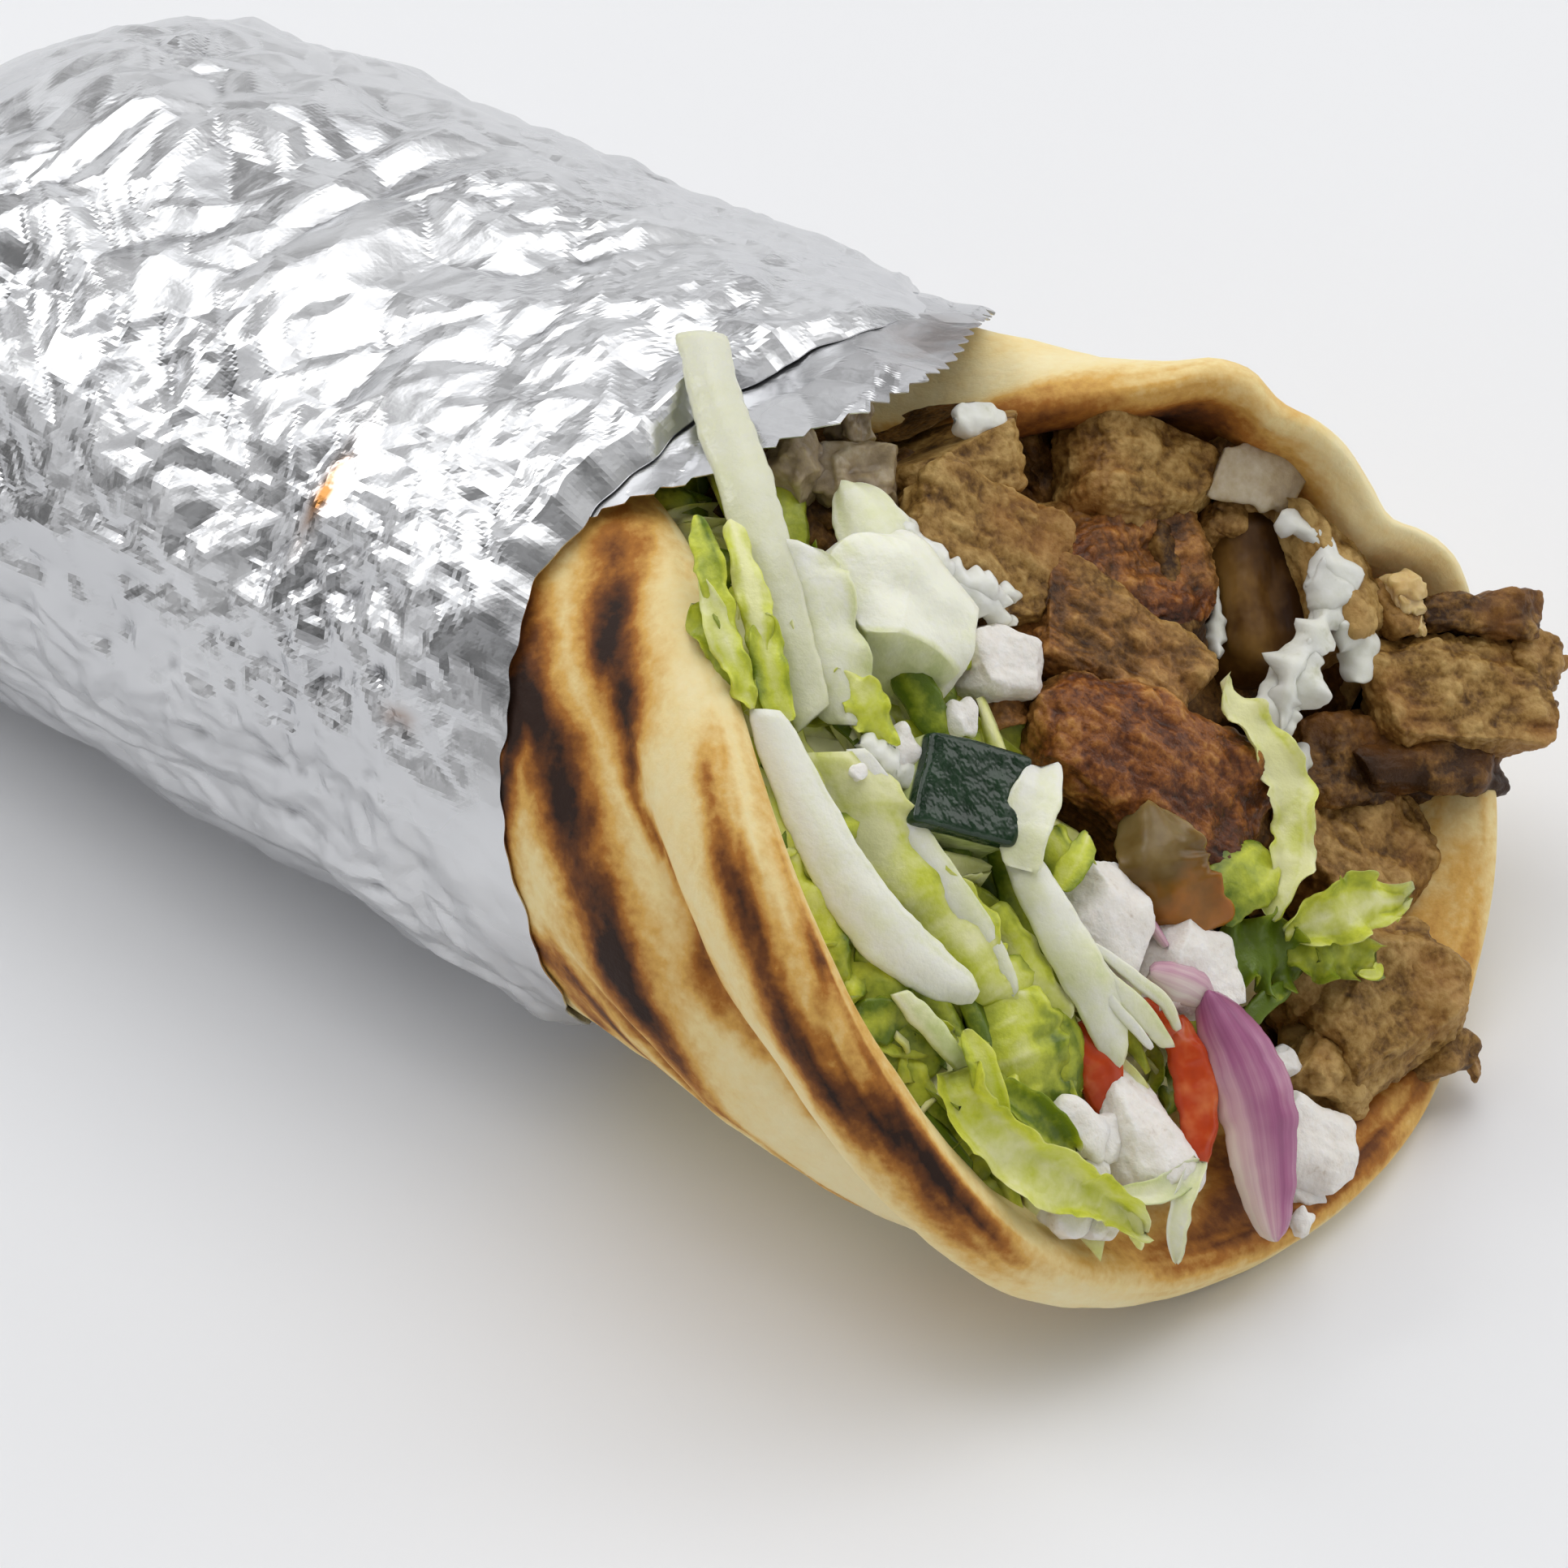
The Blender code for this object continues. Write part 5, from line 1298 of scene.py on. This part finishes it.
sauce, tree, shader = finish("tzatziki", Roughness=0.24, IOR=1.4)
cloud, height = grain(tree, 260.0, 4.0, 1.0)
colour = ramp(
    tree,
    total(tree, 0.5, cloud, grain(tree, 900.0, 2.0, 0.5)[0]),
    [(0.15, (0.52, 0.52, 0.36)), (0.38, (0.80, 0.80, 0.69)), (0.8, (0.91, 0.91, 0.85))],
)
dress(tree, shader, colour, height, 0.4, 0.4)
see_into(shader, 0.3, (2.0, 1.9, 1.4))
SMEARS = [
    # path, width, thickness
    ([(-1.8, -34.6, 0.1), (-2.2, -31.0, 1.0), (-1.6, -27.2, 1.3)], 2.4, 0.9),
    ([(-2.0, -28.0, 1.0), (0.4, -24.4, 1.2), (2.8, -21.4, 0.2)], 2.8, 0.9),
    ([(-1.4, -26.6, 0.4), (0.2, -22.5, 0.6), (2.6, -19.2, -0.4)], 2.4, 1.0),
    ([(-21.8, -22.6, 2.2), (-20.4, -19.0, 2.4), (-19.6, -15.6, 1.6)], 2.8, 1.2),
    ([(32.7, -9.4, 2.0), (33.9, -5.0, 3.3), (30.9, -0.6, 3.5), (26.7, 0.6, 3.0), (21.5, 2.3, 2.2),
     (18.2, 5.2, 0.6)], 3.9, 0.7),
    ([(33.0, -3.8, 2.9), (30.2, -1.0, 3.2), (28.0, 0.6, 2.8)], 3.2, 0.6),
    ([(26.0, 0.4, 2.9), (22.4, 2.6, 2.3), (20.0, 4.2, 1.4)], 3.8, 0.6),
    ([(24.6, 1.0, 0.2), (20.0, 3.0, 0.8), (17.0, 5.6, -0.2)], 4.6, 1.0),
    ([(30.2, 1.4, 2.8), (30.4, 4.6, 2.9), (28.2, 6.8, 2.0)], 3.9, 1.3),
    ([(27.0, -9.4, -3.4), (24.0, -5.8, -3.2), (21.2, -3.0, -3.4)], 1.8, 0.8),
    ([(22.4, 8.6, -2.0), (19.0, 9.0, -1.6), (16.0, 8.4, -2.4)], 2.6, 1.0),
    ([(38.4, -10.4, 0.9), (40.0, -8.6, 1.6), (40.8, -6.8, 1.2)], 2.2, 1.1),
    ([(13.0, -36.2, -2.8), (15.2, -34.4, -2.3), (16.8, -31.8, -2.9)], 3.9, 0.8),
    ([(3.2, -22.6, -1.4), (5.4, -20.8, -1.8)], 3.0, 0.8),
]
SMEAR = dict(rows=64, ring=28, square=0.85, ends=(0.35, 0.4), bumps=0.9, cup=-0.9)
parts = []
for k, (path, width, thick) in enumerate(SMEARS):
    ragged = 0.34 if thick < 0.75 or width < 3.5 else 0.12
    parts.append(ribbon(path, width, thick, ragged=ragged, seed=120 + k, **SMEAR))
piece("tzatziki_smears", joined(parts), sauce, "feta")

golden = leafy("golden_crumb", (0.78, 0.60, 0.30), (0.64, 0.42, 0.16), (0.42, 0.22, 0.06), shine=0.5)
bread_crumbs = [
    ((38.8, 3.6, 3.6), (3.6, 2.6, 2.2), 20),
    ((37.6, 4.8, 3.8), (2.6, 1.8, 1.6), 90),
    ((37.2, 7.0, 3.6), (1.6, 1.2, 1.2), 160),
]
form = morsels(bread_crumbs, 0.25, 160, lumpy=0.3, relief=(0.5, 0.5, 0.12))
piece("bread_crumb_golden", form, golden, "bread")

# ---- foil ----
# One sheet of kitchen foil, rolled round the tail of the wrap by hand, crushed against the bread and folded
# shut behind. Its torn edge runs across the mouth's foot, and the start of the sheet shows inside it on top.

EDGE_FROM = np.radians(
    [0, 60, 112, 132, 142, 149, 154, 160, 168, 174, 180, 195, 212, 220, 235, 255, 270, 285, 320]
)
EDGE_AT = (
    106, 102, 97.6, 101, 105.2, 107.4, 106.2, 105, 103.6, 102.8, 100.8, 99.6, 98.2, 98.4, 101.4, 104.4, 108,
    111, 109,
)
AROUND = 208.0  # millimetres round the sleeve
CLEAR = 0.02  # the foil's lowest point above the table


def foil_edge(turn):
    """How far along the sheet's torn edge lies, round the roll, with its small nicks."""
    nicks = 0.25 * np.sin(23 * turn) + 0.15 * np.sin(51 * turn + 1)
    return np.interp(turn, EDGE_FROM, EDGE_AT, period=2 * np.pi) + nicks


def crushed(along, around, cells_round, seed, steep=(0.15, 0.5), sides=5):
    """Facets between sharp creases, from 0 upwards, in millimetres.

    Each cell of a lattice, wrapped round the roll, has one point at random. From it rises a pyramid whose
    sides have random slopes: the height is the greatest over its sides of slope * distance that way, and of
    all the pyramids the lowest counts.
    """
    size = AROUND / cells_round
    u, v = along / size, around / size
    low_u, low_v = np.floor(u).astype(int), np.floor(v).astype(int)
    lowest = np.full(np.shape(u), 1e9)
    for du in range(-2, 3):
        for dv in range(-2, 3):
            cell = np.stack([low_u + du, (low_v + dv) % cells_round, np.zeros_like(low_u)], -1)
            off_u = (u - low_u - du - cell_number(cell, seed)) * size
            off_v = (v - low_v - dv - cell_number(cell, seed + 1)) * size
            spin = 2 * np.pi * cell_number(cell, seed + 2)
            highest = np.zeros(np.shape(u))
            for k in range(sides):
                slope = steep[0] + (steep[1] - steep[0]) * cell_number(cell, seed + 3 + k)
                way = spin + 2 * np.pi * k / sides
                highest = np.maximum(highest, slope * (off_u * np.cos(way) + off_v * np.sin(way)))
            lowest = np.minimum(lowest, highest)
    return lowest


def patch(along, turn, at, size):
    """1 at a place on the sleeve, fading to 0 each way: a bell along times a bell round, in millimetres."""
    across = (np.mod(turn - np.radians(at[1]) + np.pi, 2 * np.pi) - np.pi) / (2 * np.pi) * AROUND
    return bell(along, at[0], size[0]) * bell(across, 0, size[1])


def foil_height(along, turn):
    """How far the crushed sheet stands off the bread.

    Facets of three sizes: ridges between hollows, hollows between peaks, and clusters of small crumples. Low
    on the near side, where the hand smoothed it, long folds run along the roll instead.
    """
    around = turn / (2 * np.pi) * AROUND
    a = along + 1.6 * np.sin(0.11 * around + 1)
    b = around + 2.0 * np.sin(0.09 * along)
    big = crushed(a, b, 14, 40, (0.10, 0.42))
    mid = 2.4 - crushed(a + 3, b, 27, 60, (0.10, 0.60))
    low = crushed(a, b, 47, 80, (0.08, 0.6))
    tiny = crushed(a, b, 92, 90, (0.10, 0.6), 4)
    folds = crushed(0.35 * a, b, 26, 100, (0.05, 0.45))
    spots = np.stack([along, around, 0 * along], -1)
    busy = np.clip(0.55 + 0.9 * lumps(spots, 18, 9), 0.3, 1)
    clusters = patch(along, turn, (86.8, 240), (9, 11)) + 0.8 * patch(along, turn, (84, 222), (8, 7))
    busy = np.clip(busy + clusters, 0, 1.3)
    whole = np.mod(turn, 2 * np.pi)
    lower, far = bell(whole, np.radians(283), 0.5), bell(whole, np.radians(140), 0.35)
    calm = 1 - 0.8 * lower - 0.6 * far
    tail = climb(along, 72, -30)
    height = calm * ((0.8 + 0.35 * tail) * big + (0.85 + 0.25 * tail) * mid) + lower * 1.2 * folds
    height = height + busy * ((1.0 - 0.45 * tail) * low + (0.40 - 0.32 * tail) * tiny) * (1 - 0.5 * far)
    height = height + 1.3 * patch(along, turn, (80, 206), (5.5, 6.5))
    height = height + 0.6 * patch(along, turn, (85.2, 220), (4, 5))
    return height


ROWS, FEW, MANY = 236, 96, 292  # rows, and columns on the far side's foot and on the side that shows
hidden, shown = np.linspace(-30, 120, FEW, endpoint=False), np.linspace(120, 330, MANY, endpoint=False)
share, turn = np.meshgrid(np.linspace(0, 1, ROWS), np.radians(np.concatenate([hidden, shown])), indexing="ij")
along = share * foil_edge(turn)
near = bell(np.mod(turn, 2 * np.pi), np.radians(262), 0.6)
settle = np.clip((1 - share) * foil_edge(turn) / (2.5 + 11 * near), 0, 1)
MOST = 4.6  # the crushed sheet stands off the bread by less than this
out = 0.75 + MOST * np.tanh(np.maximum(foil_height(along, turn), 0) / MOST) * (0.12 + 0.88 * settle)
for axis in (0, 1):
    out[2:-2, 2:-2] = (0.84 * out + 0.08 * (np.roll(out, 1, axis) + np.roll(out, -1, axis)))[2:-2, 2:-2]
out = np.maximum(out * (1 - 0.55 * patch(along, turn, (103, 143), (11, 11))), 0.55)
under = np.exp(-((turn / 0.35) ** 4))
out = out * (1 - under) + under * np.minimum(out, 1.8)
outer = roll(along, turn, out)
outer[..., 2] = np.maximum(outer[..., 2], CLEAR)

# Its inside lies close on the bread, and its tail is drawn together in rings.
inner_share = np.concatenate([[1.0, 0.985], np.linspace(0.96, 0.1, 14)])[:, None]
along_in = inner_share * foil_edge(turn[:1])
inner_out = 0.45 + 0 * along_in
inner_out[0] = out[-1] - 0.15
inner = roll(along_in, turn[:1] + 0 * along_in, inner_out)
centre = outer[0].mean(axis=0)
tail_rings = []
for k, (draw, reach) in enumerate(((0.86, 1.2), (0.6, 2.0), (0.3, 1.6), (0.08, 0.9))):
    folds = 1 + 0.10 * np.sin(9 * turn[0] + k) + 0.06 * np.sin(17 * turn[0] + 2 * k)
    drawn = centre + (outer[0] - centre) * draw * folds[:, None]
    drawn[:, 0] = outer[0][:, 0] - reach - 0.8 * crushed(drawn[:, 1], drawn[:, 2], 31, 120)
    tail_rings.insert(0, drawn)
places, faces = capped(np.concatenate([tail_rings, outer, inner]))
places[:, 2] = np.maximum(places[:, 2], CLEAR)


def on_outside(numbers):
    """Numbers on the sleeve's outside, with zeros for its tail, its inside and the two poles."""
    before, after = len(tail_rings) * (FEW + MANY), len(inner) * (FEW + MANY) + 2
    return np.concatenate([np.zeros(before), numbers.ravel(), np.zeros(after)])


# Sharp folds are darker, painted shade in the folds: the sheet's curvature from its neighbours, smoothed
# twice each way.
crease = np.zeros_like(out)
crease[1:-1] = out[2:] + out[:-2] + np.roll(out, 1, 1)[1:-1] + np.roll(out, -1, 1)[1:-1] - 4 * out[1:-1]
for axis in (0, 1, 0, 1):
    crease = 0.5 * crease + 0.25 * (np.roll(crease, 1, axis) + np.roll(crease, -1, axis))
juice = 0.9 * patch(along, turn, (75.8, 219), (1.0, 4.2)) + 0.5 * patch(along, turn, (92, 246), (1.5, 1.2))
values = {"juice": on_outside(juice), "crease": on_outside(0.85 * np.clip(crease / 0.14 - 0.55, 0, 1))}

foil, tree, shader = finish("crushed_foil", Roughness=0.2, Metallic=1.0)
spot = add(tree, "TexCoord").outputs["Object"]
cells = add(tree, "TexVoronoi", {"Vector": spot, "Scale": 330.0}, feature="F1", distance="CHEBYCHEV")
fine = add(tree, "TexNoise", {"Vector": spot, "Scale": 420.0, "Detail": 3.0, "Roughness": 0.5})
cloud = add(tree, "TexNoise", {"Vector": spot, "Scale": 60.0, "Detail": 2.0}).outputs["Fac"]
colour = ramp(tree, cloud, [(0.3, (0.63, 0.635, 0.65)), (0.7, (0.735, 0.74, 0.75))])
broken = remapped(tree, fine.outputs["Fac"], 0.35, 0.55, 0.3, 1.3)
stain_and_reflection_share = add(tree, "Math", {0: kept(tree, "juice"), 1: broken}, operation="MULTIPLY", use_clamp=True)
# Brown: a juice stain on the sleeve, and a painted reflection of the bread on the inner turn.
colour = mixed(tree, stain_and_reflection_share.outputs["Value"], colour, (0.27, 0.125, 0.04, 1))
# Dark grey: painted shade in the sharp folds, and on the inner turn by the far rim.
colour = mixed(tree, kept(tree, "crease"), colour, (0.20, 0.20, 0.21, 1))
tree.links.new(remapped(tree, cloud, 0.3, 0.7, 0.20, 0.32), shader.inputs["Roughness"])
dress(tree, shader, colour, total(tree, cells.outputs["Distance"], fine.outputs["Fac"]), 0.16, 0.4)
piece("foil_sleeve", (places, faces, values), foil, "foil", ["foil_wrap"], smooth=False)

# The start of the sheet, with the zigzag that the box's cutter left, shows inside the sleeve across the top.
INNER_FROM = np.radians([120, 140, 150, 155, 158, 163, 168, 172, 178, 183, 186, 191, 195, 205, 212])
INNER_END = (
    106.0, 110.0, 112.4, 113.4, 114.2, 114.8, 115.2, 114.3, 113.4, 110.4, 109.2, 106.6, 103.6, 97.0, 95.0,
)
ROWS, COLUMNS = 40, 420
share, turn = np.meshgrid(np.linspace(0, 1, ROWS), np.radians(np.linspace(122, 211, COLUMNS)), indexing="ij")
zigzag = 1.1 * (2 * np.abs(np.mod(np.degrees(turn) / 2.9, 1) - 0.5))
end = np.interp(turn, INNER_FROM, INNER_END) + zigzag
start = np.minimum(foil_edge(turn) - 9.0, end - 2.0)
along = start + (end - start) * share
wave = 0.9 * crushed(along, turn / (2 * np.pi) * AROUND + 40, 23, 140, (0.1, 0.45))
past = climb(along - foil_edge(turn), -2, 6)
out = 0.42 + past * (wave + 0.8 * patch(along, turn, (108.5, 176), (6, 8)) - 0.5 * sunk(along, turn))
HALF = 0.07  # half the sheet's thickness, drawn stouter than foil is
grid = np.concatenate([roll(along, turn, out + HALF), roll(along, turn, out - HALF)[::-1]])
numbers = np.arange(2 * ROWS * COLUMNS).reshape(2 * ROWS, COLUMNS)
closing = np.stack([numbers[-1, :-1], numbers[0, :-1], numbers[0, 1:], numbers[-1, 1:]], -1)
faces = [quads(2 * ROWS, COLUMNS), closing]
for column, flip in ((0, False), (COLUMNS - 1, True)):
    upper, lower = numbers[:ROWS, column], numbers[: ROWS - 1 : -1, column]
    strip_faces = np.stack([upper[:-1], lower[:-1], lower[1:], upper[1:]], -1)
    faces.append(strip_faces[:, ::-1] if flip else strip_faces)
# The inner turn is a little darker all over, with painted shade where it runs out from under the sleeve's
# edge by the far rim, and a painted brown reflection of the bread there.
shade = 0.10 + 0.35 * patch(along, turn, (110, 152), (8, 10))
painted_bread_reflection = 0.35 * patch(along, turn, (112, 153), (5, 6))
values = {"crease": np.append(shade, shade), "juice": np.append(painted_bread_reflection, painted_bread_reflection[::-1])}
piece("foil_inner_turn", (grid.reshape(-1, 3), faces, values), foil, "foil", ["foil_wrap"], smooth=False)
